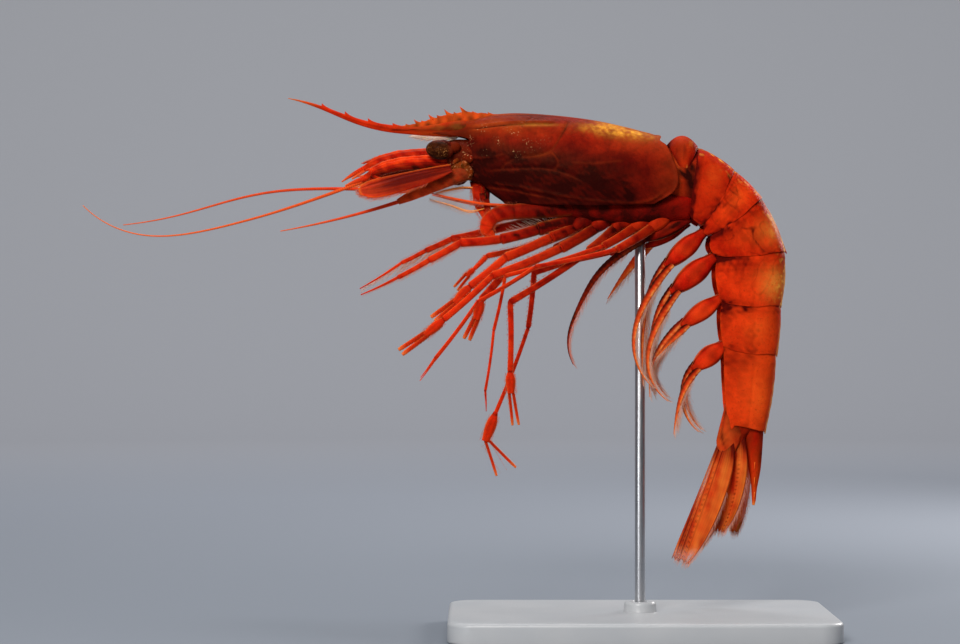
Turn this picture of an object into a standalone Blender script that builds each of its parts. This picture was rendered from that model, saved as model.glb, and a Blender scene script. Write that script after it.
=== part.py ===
"""Giant red shrimp, a female about 195 mm long, on a plain display stand.

Every number below is in millimetres or degrees; each finished mesh is scaled to metres.
The shrimp faces -X with its left side towards -Y. The origin is the middle of the stand's underside.
A pitch is an angle in the side view: 0 points to +X, 90 up and 180 forwards, the way the shrimp faces.
A lean is the angle by which a piece turns away from the shrimp's middle plane.
"""

import math

import bmesh
import bpy
from mathutils import Matrix, Vector

MM = 0.001
GAP = 0.3  # clearance kept between neighbouring solids
THIN = 0.28  # half the thickness of the finest feelers and fins
LEFT, RIGHT = -1, 1
SIDE_NAMES = {LEFT: "left", RIGHT: "right"}

# Stand
BASE_LENGTH, BASE_WIDTH, BASE_HEIGHT = 92.0, 54.0, 5.0
BASE_CORNER = 6.0
BOSS_RADIUS, BOSS_HEIGHT = 4.0, 2.4
ROD_RADIUS = 1.25

# Carapace, as seen from the side: (x, z) points that each edge of the shell passes through
DORSAL_EDGE = [(-43.7, 121.9), (-33.6, 123.9), (-21.6, 123.8), (-9.6, 122.4), (4.8, 119.0)]
FRONT_EDGE = [(-43.7, 121.9), (-43.2, 117.0), (-42.2, 112.0), (-37.6, 107.0), (-31.9, 102.6)]
REAR_EDGE = [(4.8, 119.0), (7.1, 114.0), (8.6, 109.0), (7.6, 105.4), (2.9, 102.4)]
LOWER_EDGE = [(-31.9, 102.6), (-22.0, 102.2), (-9.0, 102.0), (2.9, 102.4)]
CARAPACE_HALF_WIDTHS = [4.2, 6.9, 8.6, 9.5, 9.6, 8.7]
FLANK_TURN = 112.0  # how far round the flank curls, from the midline to the lower edge

# Abdomen: the planes between its segments, as (x, z) of the top, (x, z) of the bottom, half width
ABDOMEN_PLANES = [
    ((13.7, 116.4), (11.2, 100.0), 7.4),
    ((21.5, 111.7), (14.6, 97.2), 7.5),
    ((29.0, 104.4), (16.4, 94.8), 7.4),
    ((34.7, 91.7), (17.9, 89.9), 7.0),
    ((33.8, 78.7), (19.1, 79.1), 6.3),
    ((32.8, 66.9), (19.7, 68.3), 5.5),
    ((30.0, 48.7), (20.7, 50.7), 3.9),
]
THORAX_FLOOR = 99.3
LEG_SPREAD = 3.2  # from the middle plane to the root of each walking leg


# ---------------------------------------------------------------- building tools


def clear_scene():
    for old in list(bpy.data.objects):
        bpy.data.objects.remove(old, do_unlink=True)


def make_material(name, colour, roughness, metallic=0.0):
    material = bpy.data.materials.new(name)
    material.use_nodes = True
    shader = material.node_tree.nodes["Principled BSDF"]
    shader.inputs["Base Color"].default_value = (*colour, 1.0)
    shader.inputs["Roughness"].default_value = roughness
    shader.inputs["Metallic"].default_value = metallic
    return material


def new_object(name, shape, material):
    """An object from a bmesh in millimetres, facing out and scaled to metres."""
    bmesh.ops.recalc_face_normals(shape, faces=shape.faces)
    bmesh.ops.scale(shape, vec=(MM, MM, MM), verts=shape.verts)
    mesh = bpy.data.meshes.new(name)
    shape.to_mesh(mesh)
    shape.free()
    mesh.materials.append(material)
    mesh.shade_smooth()
    mesh.set_sharp_from_angle(angle=math.radians(35))
    made = bpy.data.objects.new(name, mesh)
    bpy.context.scene.collection.objects.link(made)
    return made


def joined(shapes):
    """One bmesh that is the Boolean union of several, worked out in millimetres."""
    helpers = []
    for shape in shapes:
        bmesh.ops.recalc_face_normals(shape, faces=shape.faces)
        mesh = bpy.data.meshes.new("piece")
        shape.to_mesh(mesh)
        shape.free()
        helper = bpy.data.objects.new("piece", mesh)
        bpy.context.scene.collection.objects.link(helper)
        helpers.append(helper)
    first = helpers[0]
    for other in helpers[1:]:
        union = first.modifiers.new("union", "BOOLEAN")
        union.operation = "UNION"
        union.object = other
    graph = bpy.context.evaluated_depsgraph_get()
    result = bmesh.new()
    result.from_object(first, graph)
    bmesh.ops.triangulate(result, faces=result.faces)
    bmesh.ops.dissolve_degenerate(result, dist=0.002, edges=result.edges)
    for helper in helpers:
        bpy.data.objects.remove(helper, do_unlink=True)
    return result


def loft(rings, ladder=None):
    """Skins a list of rings, each a list of points of the same count, and closes both ends.

    An end is one face, or a ladder of faces between the mirrored pairs of points that ladder lists.
    """
    shape = bmesh.new()
    loops = [[shape.verts.new(point) for point in ring] for ring in rings]
    count = len(loops[0])
    for near, far in zip(loops, loops[1:]):
        for k in range(count):
            shape.faces.new((near[k], near[(k + 1) % count], far[(k + 1) % count], far[k]))
    for loop in (loops[0], loops[-1]):
        if not ladder:
            shape.faces.new(loop)
            continue
        for (a, b), (c, d) in zip(ladder, ladder[1:]):
            shape.faces.new([loop[k] for k in dict.fromkeys((a, c, d, b))])
    return shape


def oval(centre, side, up, half_side, half_up, sides, squareness=1.0):
    """A ring of points; squareness below 1 fills out its corners."""
    points = []
    for k in range(sides):
        angle = 2 * math.pi * (k + 0.5) / sides
        sideways = math.copysign(abs(math.cos(angle)) ** squareness, math.cos(angle))
        upwards = math.copysign(abs(math.sin(angle)) ** squareness, math.sin(angle))
        points.append(centre + side * (half_side * sideways) + up * (half_up * upwards))
    return points


def heading(pitch, lean, hand):
    pitch, lean = math.radians(pitch), math.radians(lean)
    flat = math.cos(lean)
    return Vector((flat * math.cos(pitch), hand * math.sin(lean), flat * math.sin(pitch)))


def square_to(tangent):
    """The two directions square to a tangent: one close to the Y axis, and one in the side view."""
    side = (Vector((0, 1, 0)) - tangent * tangent.y).normalized()
    return side, tangent.cross(side).normalized()


def tube(path, halves, sides=6):
    """A tube of oval rings along a path; halves gives (half width, half depth) at each point."""
    rings = []
    for i, point in enumerate(path):
        before = path[max(i - 1, 0)]
        after = path[min(i + 1, len(path) - 1)]
        side, up = square_to((after - before).normalized())
        if i not in (0, len(path) - 1):  # a bend's ring lies in its mitre plane
            turn = (point - before).angle(after - point)
            up = up / max(math.cos(turn / 2), 0.7)
        rings.append(oval(point, side, up, *halves[i], sides))
    return loft(rings)


def chain(root, hand, articles):
    """The joints of a limb. Each article is (length, pitch, lean, ...)."""
    joints = [Vector(root)]
    for article in articles:
        joints.append(joints[-1] + heading(article[1], article[2], hand) * article[0])
    return joints


def limb(root, hand, articles, sides=6, waist=0.72, flatness=0.85):
    """A jointed limb: each article (length, pitch, lean, half thickness) swells between narrow joints."""
    joints = chain(root, hand, articles)
    halves = [article[3] for article in articles]
    path, sizes = [], []
    for k, half in enumerate(halves):
        start, end = joints[k], joints[k + 1]
        waist_half = half * 0.9 if k == 0 else min(half, halves[k - 1]) * waist
        next_half = halves[min(k + 1, len(halves) - 1)]
        path += [start, start.lerp(end, 0.16), start.lerp(end, 0.84)]
        sizes += [waist_half, half, 0.5 * (half + min(half, next_half))]
    path.append(joints[-1])
    sizes.append(max(halves[-1] * 0.7, THIN))
    return tube(path, [(max(s * flatness, THIN), max(s, THIN)) for s in sizes], sides)


def swept(root, hand, length, pitches, leans, halves, steps, sides=6, flatness=1.0):
    """A feeler that bends evenly: pitches, leans and half thicknesses are spread along its length."""
    path, sizes = [Vector(root)], [halves[0]]
    for i in range(steps):
        middle = (i + 0.5) / steps
        step = heading(spread(pitches, middle), spread(leans, middle), hand)
        path.append(path[-1] + step * (length / steps))
        sizes.append(spread(halves, (i + 1) / steps))
    return tube(path, [(max(s * flatness, THIN), max(s, THIN)) for s in sizes], sides)


def spread(values, share):
    """A value read off an evenly spaced list, straight between its entries."""
    place = min(max(share, 0.0), 1.0) * (len(values) - 1)
    k = min(int(place), len(values) - 2) if len(values) > 1 else 0
    if len(values) == 1:
        return values[0]
    return values[k] + (values[k + 1] - values[k]) * (place - k)


def smooth(points, share):
    """A point on a smooth curve that passes evenly through a few points."""
    last = len(points) - 1
    place = min(max(share, 0.0), 1.0) * last
    k = min(int(place), last - 1)
    t = place - k
    near, far = Vector(points[k]), Vector(points[k + 1])
    before = Vector(points[k - 1]) if k > 0 else near * 2 - far
    after = Vector(points[k + 2]) if k + 2 <= last else far * 2 - near
    return (
        near * 2
        + (far - before) * t
        + (before * 2 - near * 5 + far * 4 - after) * t**2
        + (near * 3 - before - far * 3 + after) * t**3
    ) * 0.5


# ---------------------------------------------------------------- carapace, rostrum and head


def flank(v):
    """(depth share, width share) at v, from 0 on the midline to 1 at the lower edge."""
    turn = math.radians(FLANK_TURN)
    angle = v * turn
    return (1 - math.cos(angle)) / (1 - math.cos(turn)), math.sin(angle) ** 0.8


def carapace_point(u, v, hand):
    """A point of the shell: u runs from the front edge to the rear edge."""
    depth, width = flank(v)
    top, bottom = smooth(DORSAL_EDGE, u), smooth(LOWER_EDGE, u)
    front, rear = smooth(FRONT_EDGE, depth), smooth(REAR_EDGE, depth)
    corners = (
        Vector(DORSAL_EDGE[0]) * (1 - u) * (1 - depth)
        + Vector(DORSAL_EDGE[-1]) * u * (1 - depth)
        + Vector(LOWER_EDGE[0]) * (1 - u) * depth
        + Vector(LOWER_EDGE[-1]) * u * depth
    )
    side_view = top * (1 - depth) + bottom * depth + front * (1 - u) + rear * u - corners
    half = spread(CARAPACE_HALF_WIDTHS, u)
    return Vector((side_view.x, hand * half * width, side_view.y))


def carapace():
    along, down = 14, 9
    shape = bmesh.new()
    grid = {}
    for hand in (LEFT, RIGHT):
        for i in range(along + 1):
            for j in range(down + 1):
                if j == 0 and hand == RIGHT:
                    grid[hand, i, j] = grid[LEFT, i, 0]
                else:
                    grid[hand, i, j] = shape.verts.new(carapace_point(i / along, j / down, hand))
        for i in range(along):
            for j in range(down):
                shape.faces.new([grid[hand, i + a, j + b] for a, b in ((0, 0), (1, 0), (1, 1), (0, 1))])
    for i in (0, along):  # the front and rear walls
        for j in range(down):
            wall = [grid[LEFT, i, j], grid[LEFT, i, j + 1], grid[RIGHT, i, j + 1], grid[RIGHT, i, j]]
            shape.faces.new(wall if j else wall[:3])
    for i in range(along):  # the underside
        shape.faces.new(
            (grid[LEFT, i, down], grid[LEFT, i + 1, down], grid[RIGHT, i + 1, down], grid[RIGHT, i, down])
        )
    return shape


# Rostrum: a blade that bends up, with a crest of large teeth at its foot and small ones far apart
ROSTRUM_FOOT = (-44.1, 120.7)
ROSTRUM_LENGTH = 41.4
ROSTRUM_PITCHES = [188, 172, 158, 170]
ROSTRUM_HALF_HEIGHTS = [2.1, 1.7, 1.0, 0.85, 0.7, 0.5, 0.28]
ROSTRUM_HALF_WIDTHS = [3.2, 1.5, 0.8, 0.65, 0.55, 0.45, 0.28]
CREST_HALF_THICKNESS = 0.4
CREST_TEETH = [(-42.5, 126.0), (-46.8, 125.3), (-50.6, 124.1), (-53.8, 123.1), (-59.0, 122.2)]
CREST_NOTCHES = [(-44.2, 124.9), (-48.4, 124.2), (-52.0, 123.1), (-56.0, 121.7)]
REAR_TOOTH = [(-32.6, 124.5), (-36.0, 124.8), (-37.4, 124.6)]
CREST_FLOOR = [(-61.0, 120.9), (-56.0, 120.6), (-46.0, 121.0), (-44.2, 122.3), (-40.0, 123.2), (-34.0, 124.2)]
SMALL_TEETH = [0.46, 0.62, 0.78]  # where the far teeth stand, as shares of the rostrum's length
SMALL_TOOTH = (2.0, 1.0)  # length and height above the blade


def rostrum_path(steps):
    path = [Vector((ROSTRUM_FOOT[0], 0, ROSTRUM_FOOT[1]))]
    for i in range(steps):
        step = heading(spread(ROSTRUM_PITCHES, (i + 0.5) / steps), 0, LEFT)
        path.append(path[-1] + step * (ROSTRUM_LENGTH / steps))
    return path


def plate(outline, half_thickness):
    """A flat plate in the middle plane from its outline in the side view."""
    shape = bmesh.new()
    near = [shape.verts.new((x, -half_thickness, z)) for x, z in outline]
    shape.faces.new(near)
    moved = bmesh.ops.extrude_face_region(shape, geom=shape.faces[:])["geom"]
    bmesh.ops.translate(
        shape,
        vec=(0, 2 * half_thickness, 0),
        verts=[item for item in moved if isinstance(item, bmesh.types.BMVert)],
    )
    return shape


def rostrum():
    steps = 12
    path = rostrum_path(steps)
    shares = [i / steps for i in range(steps + 1)]
    halves = [(spread(ROSTRUM_HALF_WIDTHS, s), spread(ROSTRUM_HALF_HEIGHTS, s)) for s in shares]
    blade = tube(path, halves, 8)
    crest_top = [REAR_TOOTH[0], REAR_TOOTH[1], REAR_TOOTH[2], CREST_TEETH[0]]
    for notch, tooth in zip(CREST_NOTCHES, CREST_TEETH[1:]):
        crest_top += [notch, tooth]
    pieces = [blade, plate(crest_top + CREST_FLOOR, CREST_HALF_THICKNESS)]
    fine = rostrum_path(100)
    for share in SMALL_TEETH:
        foot = fine[round(share * 100)]
        height = spread(ROSTRUM_HALF_HEIGHTS, share)
        tip = (foot.x - SMALL_TOOTH[0] / 2, foot.z + height + SMALL_TOOTH[1])
        rear = (foot.x + SMALL_TOOTH[0], foot.z)
        front = (foot.x - SMALL_TOOTH[0] / 2, foot.z + height * 0.6)
        pieces.append(plate([rear, tip, front], THIN))
    return joined(pieces)


HEAD_REAR = ((-44.0, 117.8), (-42.9, 110.4), 4.0)  # top, bottom, half width
HEAD_FRONT = ((-46.9, 116.2), (-45.2, 109.8), 3.1)
EYE_CENTRE = (-47.9, 5.3, 115.4)
EYE_HALVES = (2.9, 2.3, 2.5)
STALK_FOOT = (-45.2, 2.2, 116.0)
STALK_HALF = 1.35


def section_ring(top, bottom, half_width, sides, squareness=0.8):
    top, bottom = Vector((top[0], 0, top[1])), Vector((bottom[0], 0, bottom[1]))
    up = (top - bottom).normalized()
    half_height = (top - bottom).length / 2
    return oval((top + bottom) / 2, Vector((0, 1, 0)), up, half_width, half_height, sides, squareness)


def head():
    block = loft([section_ring(*HEAD_REAR, 12), section_ring(*HEAD_FRONT, 12)])
    pieces = [block]
    for hand in (LEFT, RIGHT):
        foot = Vector((STALK_FOOT[0], hand * STALK_FOOT[1], STALK_FOOT[2]))
        eye = Vector((EYE_CENTRE[0], hand * EYE_CENTRE[1], EYE_CENTRE[2]))
        reach = (eye - foot).length - EYE_HALVES[1] - GAP
        tip = foot + (eye - foot).normalized() * reach
        pieces.append(tube([foot, tip], [(STALK_HALF, STALK_HALF)] * 2, 8))
    return joined(pieces)


def ball(centre, halves):
    shape = bmesh.new()
    bmesh.ops.create_uvsphere(shape, u_segments=12, v_segments=7, radius=1.0)
    bmesh.ops.transform(shape, matrix=Matrix.Diagonal((*halves, 1)), verts=shape.verts)
    bmesh.ops.translate(shape, vec=centre, verts=shape.verts)
    return shape


# Feelers of the head. Each entry is (length, pitch, lean, half thickness) of one article
ANTENNULES = {
    LEFT: ((-47.9, 1.7, 112.7), [(8.6, 180, 0, 1.3), (4.9, 191, 0, 1.15), (6.0, 209, 2, 0.95)]),
    RIGHT: ((-47.9, 1.7, 114.3), [(8.9, 178, 0, 1.4), (5.4, 190, 0, 1.25), (4.6, 200, 3, 1.0)]),
}
SHORT_FLAGELLA = {LEFT: (4.4, [196, 202]), RIGHT: (5.6, [206, 214])}
LONG_ANTENNULE = (70.1, [201, 197, 185, 135], [3, 6, 4, 0])
ANTENNAE = {
    LEFT: ((-43.4, 4.7, 109.6), [(3.2, 204, 20, 1.8), (5.2, 201, 0, 1.5), (8.6, 206, -4, 1.25)]),
    RIGHT: ((-43.4, 4.7, 110.2), [(3.2, 196, 20, 1.8), (5.2, 195, 0, 1.5), (8.4, 196, -2, 1.2)]),
}
ANTENNA_FLAGELLA = {
    LEFT: (28.7, [197, 190], [-2, 2], 8),
    RIGHT: (69.0, [176, 182, 196, 186], [2, 5, 4, 2], 14),
}
SCALES = {  # root, length, pitch, lean, half width, roll
    LEFT: ((-46.4, 7.6, 110.9), 21.2, 194, 4, 3.3, 40),
    RIGHT: ((-46.4, 7.6, 111.6), 21.2, 187, 5, 3.3, 40),
}
SCALE_HALF_THICKNESS = 0.35
FLAGELLUM_HALVES = [0.42, 0.34, THIN]


def antennule(hand):
    root, articles = ANTENNULES[hand]
    root = (root[0], hand * root[1], root[2])
    end = chain(root, hand, articles)[-1]
    length, pitches = SHORT_FLAGELLA[hand]
    upper = swept(end + Vector((0.8, 0, 0.45)), hand, length, pitches, [4], [0.5, 0.4, THIN], 3)
    return joined([limb(root, hand, articles, waist=0.85), upper])


def long_antennule_flagellum():
    root, articles = ANTENNULES[LEFT]
    end = chain((root[0], LEFT * root[1], root[2]), LEFT, articles)[-1]
    start = end + heading(205, 0, LEFT) * 0.55 - Vector((0, 0, 0.5))  # below the short branch
    length, pitches, leans = LONG_ANTENNULE
    return swept(start, LEFT, length, pitches, leans, FLAGELLUM_HALVES, 16)


def antenna_joints(hand):
    root, articles = ANTENNAE[hand]
    return chain((root[0], hand * root[1], root[2]), hand, articles)


def antenna(hand):
    root, articles = ANTENNAE[hand]
    return limb((root[0], hand * root[1], root[2]), hand, articles, waist=0.85)


def antenna_flagellum(hand):
    length, pitches, leans, steps = ANTENNA_FLAGELLA[hand]
    start = antenna_joints(hand)[-1] + heading(pitches[0], 0, hand) * GAP
    return swept(start, hand, length, pitches, leans, FLAGELLUM_HALVES, steps)


def leaf(root, hand, length, pitch, lean, half_width, roll, half_thickness, outline, steps=8):
    """A flat blade: outline gives the share of the half width at even steps from root to tip."""
    direction = heading(pitch, lean, hand)
    side, up = square_to(direction)
    turned = math.radians(roll) * hand
    wide = side * math.cos(turned) + up * math.sin(turned)
    thick = direction.cross(wide).normalized()
    rings = []
    for i in range(steps + 1):
        share = i / steps
        half = max(half_width * spread(outline, share), 0.5)
        centre = Vector(root) + direction * (length * share)
        rings.append(oval(centre, wide, thick, half, half_thickness, 6))
    return loft(rings)


SCALE_OUTLINE = [0.36, 0.62, 0.8, 0.93, 1.0, 1.0, 0.95, 0.8, 0.36]


def antenna_scale(hand):
    (x, y, z), length, pitch, lean, half_width, roll = SCALES[hand]
    return leaf(
        (x, hand * y, z), hand, length, pitch, lean, half_width, roll, SCALE_HALF_THICKNESS, SCALE_OUTLINE
    )


# ---------------------------------------------------------------- thorax, mouthparts and walking legs


def thorax():
    """The floor of the chest, from which the legs hang. (x, top, bottom, half width)"""
    stations = [
        (-27.0, 101.9, 100.0, 2.4),
        (-18.5, 101.7, 99.4, 3.6),
        (-12.0, 101.6, THORAX_FLOOR, 6.6),
        (0.0, 101.7, THORAX_FLOOR, 6.6),
        (4.6, 101.8, THORAX_FLOOR, 5.2),
    ]
    return loft([section_ring((x, top), (x, low), half, 12, 0.6) for x, top, low, half in stations])


MOUTH_BLOCK = [((-33.8, 103.4), (-32.6, 100.6), 3.0), ((-40.2, 106.2), (-38.6, 102.6), 2.6)]
PALP = [(4.4, 270, 6, 1.15), (3.4, 298, 0, 0.8)]


def mouthparts():
    pieces = [loft([section_ring(*ring, 8) for ring in MOUTH_BLOCK])]
    for hand in (LEFT, RIGHT):
        pieces.append(limb((-38.6, hand * 1.9, 104.6), hand, PALP, 6))
    return joined(pieces)


SECOND_MAXILLIPEDS = {
    LEFT: (
        (-20.8, 5.0, 100.2),
        [(11.2, 178, 2, 1.2), (4.5, 206, 0, 1.2), (3.6, 268, -4, 1.1), (4.4, 8, -4, 0.8)],
    ),
    RIGHT: (
        (-20.8, 5.0, 100.2),
        [(11.0, 176, 2, 1.2), (4.2, 200, 0, 1.2), (3.4, 262, -4, 1.1), (4.2, 2, -4, 0.8)],
    ),
}
THIRD_MAXILLIPEDS = {
    LEFT: (
        (-18.6, 3.2, 97.5),
        [(6.6, 194, 14, 1.3), (9.2, 195, 10, 1.35), (9.6, 185, 4, 1.1), (8.6, 209, 0, 0.9),
         (8.4, 209, -2, 0.65), (9.8, 205, -4, 0.35)],
    ),
    RIGHT: (
        (-18.6, 3.2, 97.5),
        [(8.0, 178, 14, 1.2), (9.6, 192, 12, 1.1), (10.3, 193, 4, 0.9), (6.8, 204, 0, 0.7),
         (6.6, 207, -2, 0.5), (12.0, 212, -4, 0.35)],
    ),
}

# Walking legs: the root's x, then (length, pitch, lean, half thickness) from the hip to the wrist
LEG_ROOTS = [-14.6, -10.0, -5.2, -0.8, 3.3]
LEGS = {
    (1, LEFT): [(8.6, 203, 28, 1.4), (12.0, 204, 12, 1.15), (10.8, 219, 0, 1.0)],
    (1, RIGHT): [(10.9, 203, 22, 1.3), (13.2, 193, 8, 0.75), (4.4, 225, 4, 0.5)],
    (2, LEFT): [(12.3, 211, 29, 1.4), (17.7, 202, 8, 1.1), (15.4, 222, 0, 0.8)],
    (2, RIGHT): [(12.6, 208, 25, 1.4), (14.6, 206, 10, 1.05), (7.8, 229, 4, 0.95)],
    (3, LEFT): [(11.6, 220, 34, 1.5), (22.6, 213, 9, 0.85), (16.4, 270, -4, 0.7)],
    (3, RIGHT): [(9.4, 226, 28, 1.5), (15.5, 199, 14, 0.8), (13.6, 264, 4, 0.72), (22.7, 249, -3, 0.5)],
    (4, LEFT): [(13.2, 211, 41, 1.3), (24.5, 197, 9, 0.55), (13.1, 258, -4, 0.4), (14.4, 262, -4, 0.33),
                (4.8, 273, 0, THIN)],
    (4, RIGHT): [(13.2, 211, 41, 1.3), (24.0, 196, 9, 0.5), (13.7, 258, -4, 0.36), (15.1, 262, -4, 0.3),
                 (5.0, 272, 0, THIN)],
    (5, LEFT): [(16.6, 212, 47, 1.3), (19.8, 192, 8, 0.55), (15.8, 211, 2, 0.4), (16.5, 233, -4, 0.33),
                (5.7, 234, 0, THIN)],
    (5, RIGHT): [(16.4, 212, 46, 1.3), (18.7, 191, 8, 0.5), (16.6, 211, 2, 0.36), (18.2, 233, -4, 0.33),
                 (6.0, 234, 0, THIN)],
}
# Pincers: (palm length, pitch, half depth), (finger length, pitch of the fixed and of the moving finger)
PINCERS = {
    (1, LEFT): ((5.3, 227, 1.05), (5.9, 214, 220)),
    (1, RIGHT): ((2.6, 222, 0.6), (3.8, 226, 232)),
    (2, LEFT): ((5.7, 220, 0.95), (6.7, 211, 218)),
    (2, RIGHT): ((4.9, 256, 1.15), (5.2, 240, 250)),
    (3, LEFT): ((5.0, 272, 1.0), (7.3, 275, 283)),
    (3, RIGHT): ((6.9, 250, 1.05), (8.7, 289, 314)),
}


PALM_SHARES = (0.0, 0.35, 0.75, 1.0)
PALM_SWELL = [(0.5, 0.6), (0.7, 1.0), (0.65, 0.95), (0.5, 0.75)]  # half width and half depth at those shares


def leg_root(number, hand):
    return (LEG_ROOTS[number - 1], hand * LEG_SPREAD, THORAX_FLOOR - GAP - 1.6)


def walking_leg(number, hand):
    return limb(leg_root(number, hand), hand, LEGS[number, hand])


def pincer(number, hand):
    (palm, pitch, half), (finger, fixed, moving) = PINCERS[number, hand]
    lean = LEGS[number, hand][-1][2]
    wrist = chain(leg_root(number, hand), hand, LEGS[number, hand])[-1]
    start = wrist + heading(pitch, lean, hand) * GAP
    direction = heading(pitch, lean, hand)
    end = start + direction * palm
    path = [start.lerp(end, share) for share in PALM_SHARES]
    pieces = [tube(path, [(half * wide, half * deep) for wide, deep in PALM_SWELL])]
    _, up = square_to(direction)
    for angle, offset in ((fixed, -1), (moving, 1)):
        root = end - direction * 0.5 + up * (offset * half * 0.42)
        pieces.append(swept(root, hand, finger + 0.5, [angle], [lean], [0.36, 0.32, THIN], 3))
    return joined(pieces)


# ---------------------------------------------------------------- abdomen, swimming legs and tail


BACK_POINTS = 11
BELLY_SHARES = (0.6, 0.42, -0.42, -0.6)  # where the belly's own points stand, as shares of the half width
BELLY_LADDER = [(5, 5), (4, 6), (3, 7), (2, 8), (1, 9), (0, 10), (14, 11), (13, 12)]


def belly_ring(top, bottom, half_width, recess=1.1):
    """A ring of the abdomen: a round back, upright flanks, and a belly set in between the side flaps."""
    top, bottom = Vector((top[0], 0, top[1])), Vector((bottom[0], 0, bottom[1]))
    up = (top - bottom).normalized()
    centre, half_height = (top + bottom) / 2, (top - bottom).length / 2
    ring = []
    for k in range(BACK_POINTS):
        angle = math.radians(-126 + 252 * k / (BACK_POINTS - 1))
        height = math.cos(angle) if abs(angle) < math.pi / 2 else -((-math.cos(angle)) ** 0.8) * 1.5
        reach = math.copysign(abs(math.sin(angle)) ** 0.85, angle)
        ring.append(centre + up * (half_height * max(height, -1.0)) + Vector((0, half_width * reach, 0)))
    for share in BELLY_SHARES:
        rise = recess if abs(share) < 0.5 else 0.15
        ring.append(centre - up * (half_height - rise) + Vector((0, half_width * share, 0)))
    return ring


def between(front, back, share, bulge=0.0, lobe=0.0):
    """A section between two planes; bulge lifts its back and lobe lengthens its side flaps."""
    top = Vector(front[0]).lerp(Vector(back[0]), share)
    bottom = Vector(front[1]).lerp(Vector(back[1]), share)
    up = (top - bottom).normalized()
    hump = 4 * share * (1 - share)
    return top + up * (bulge * hump), bottom - up * (lobe * hump), front[2] + (back[2] - front[2]) * share


def drawn_in(front, back):
    """Where a segment starts and ends between its two planes, as shares that leave a clearance."""
    length = ((Vector(back[0]) + Vector(back[1])) / 2 - (Vector(front[0]) + Vector(front[1])) / 2).length
    share = SEAM / length
    return share, 1 - share


SEAM = 0.19  # from a segment's end to the plane between it and the next
SEGMENT_BULGES = [0.5, 0.4, 0.5, 0.35, 0.15, 0.3]
SEGMENT_LOBES = [0.3, 0.5, 0.6, 0.4, 0.3, 0.3]
# The first segment starts as a neck behind the carapace and a raised front hoop: (top, bottom, half width)
NECK = [
    ((5.4, 116.2), (5.4, 105.0), 6.3),
    ((6.6, 116.3), (9.2, 101.2), 6.6),
    ((7.3, 118.4), (9.8, 100.6), 6.9),
    ((9.7, 119.1), (10.5, 100.3), 7.2),
    ((13.0, 117.3), (10.9, 100.15), 7.2),
]
NECK_GAP = 0.42  # behind the carapace's rear edge


def neck_rings():
    """The neck's rings, each kept behind the carapace's rear edge."""
    rings = []
    for k, (top, bottom, half_width) in enumerate(NECK):
        rings.append(belly_ring(top, bottom, half_width, recess=0.6))
        for point in rings[-1]:
            point.x = max(point.x, rear_edge_at(point.z) + NECK_GAP + 0.25 * k)
    return rings


def rear_edge_at(height):
    """How far back the carapace's rear edge reaches at a height."""
    samples = [smooth(REAR_EDGE, i / 60) for i in range(61)]
    return min(samples, key=lambda point: abs(point.y - height)).x


def abdomen_segment(number):
    front, back = ABDOMEN_PLANES[number - 1], ABDOMEN_PLANES[number]
    first, last = drawn_in(front, back)
    bulge, lobe = SEGMENT_BULGES[number - 1], SEGMENT_LOBES[number - 1]
    shares = [first, 0.3, 0.65, last]
    rings = []
    if number == 1:
        rings = neck_rings()
        shares = [0.14, 0.4, 0.7, last]
    rings += [belly_ring(*between(front, back, share, bulge, lobe)) for share in shares]
    return loft(rings, BELLY_LADDER)


TELSON = [  # (x, z) of the upper and lower edge, half width
    ((28.9, 48.2), (24.9, 48.9), 2.3),
    ((28.8, 43.6), (24.9, 44.8), 1.9),
    ((28.4, 36.0), (26.0, 38.0), 1.3),
    ((27.9, 30.2), (26.9, 30.6), 0.4),
]


def telson():
    return loft([section_ring(*ring, 8, 1.0) for ring in TELSON])


# Tail fan blades: root (x, y, z), length, pitch, lean, half width, roll
FAN_BLADES = {
    ("outer", LEFT): ((19.3, 3.9, 44.6), 30.2, 252, 6, 4.3, 48),
    ("outer", RIGHT): ((20.4, 3.9, 44.6), 26.4, 259, 8, 3.9, 50),
    ("inner", LEFT): ((22.4, 2.6, 43.6), 20.4, 263, 2, 3.0, -42),
    ("inner", RIGHT): ((23.6, 2.6, 43.6), 20.4, 266, 3, 2.6, -50),
}
FAN_OUTLINE = {
    "outer": [0.4, 0.74, 0.92, 1.0, 1.0, 0.96, 0.88, 0.74, 0.42],
    "inner": [0.45, 0.85, 1.0, 1.0, 0.96, 0.85, 0.68, 0.45, 0.18],
}
FAN_HALF_THICKNESS = 0.32
FAN_FOOT_LENGTH = 4.4  # of the stub that carries each outer blade
FAN_FOOT_HALVES = [(1.0, 1.5), (0.9, 1.3)]


def fan_blade(which, hand):
    (x, y, z), length, pitch, lean, half_width, roll = FAN_BLADES[which, hand]
    root = Vector((x, hand * y, z))
    blade = leaf(root, hand, length, pitch, lean, half_width, roll, FAN_HALF_THICKNESS, FAN_OUTLINE[which])
    if which == "inner":
        return blade
    foot = root + Vector((0.9, -hand * 0.4, FAN_FOOT_LENGTH))
    stub = tube([foot, root + Vector((0, 0, -0.8))], FAN_FOOT_HALVES, 8)
    return joined([stub, blade])


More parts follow.
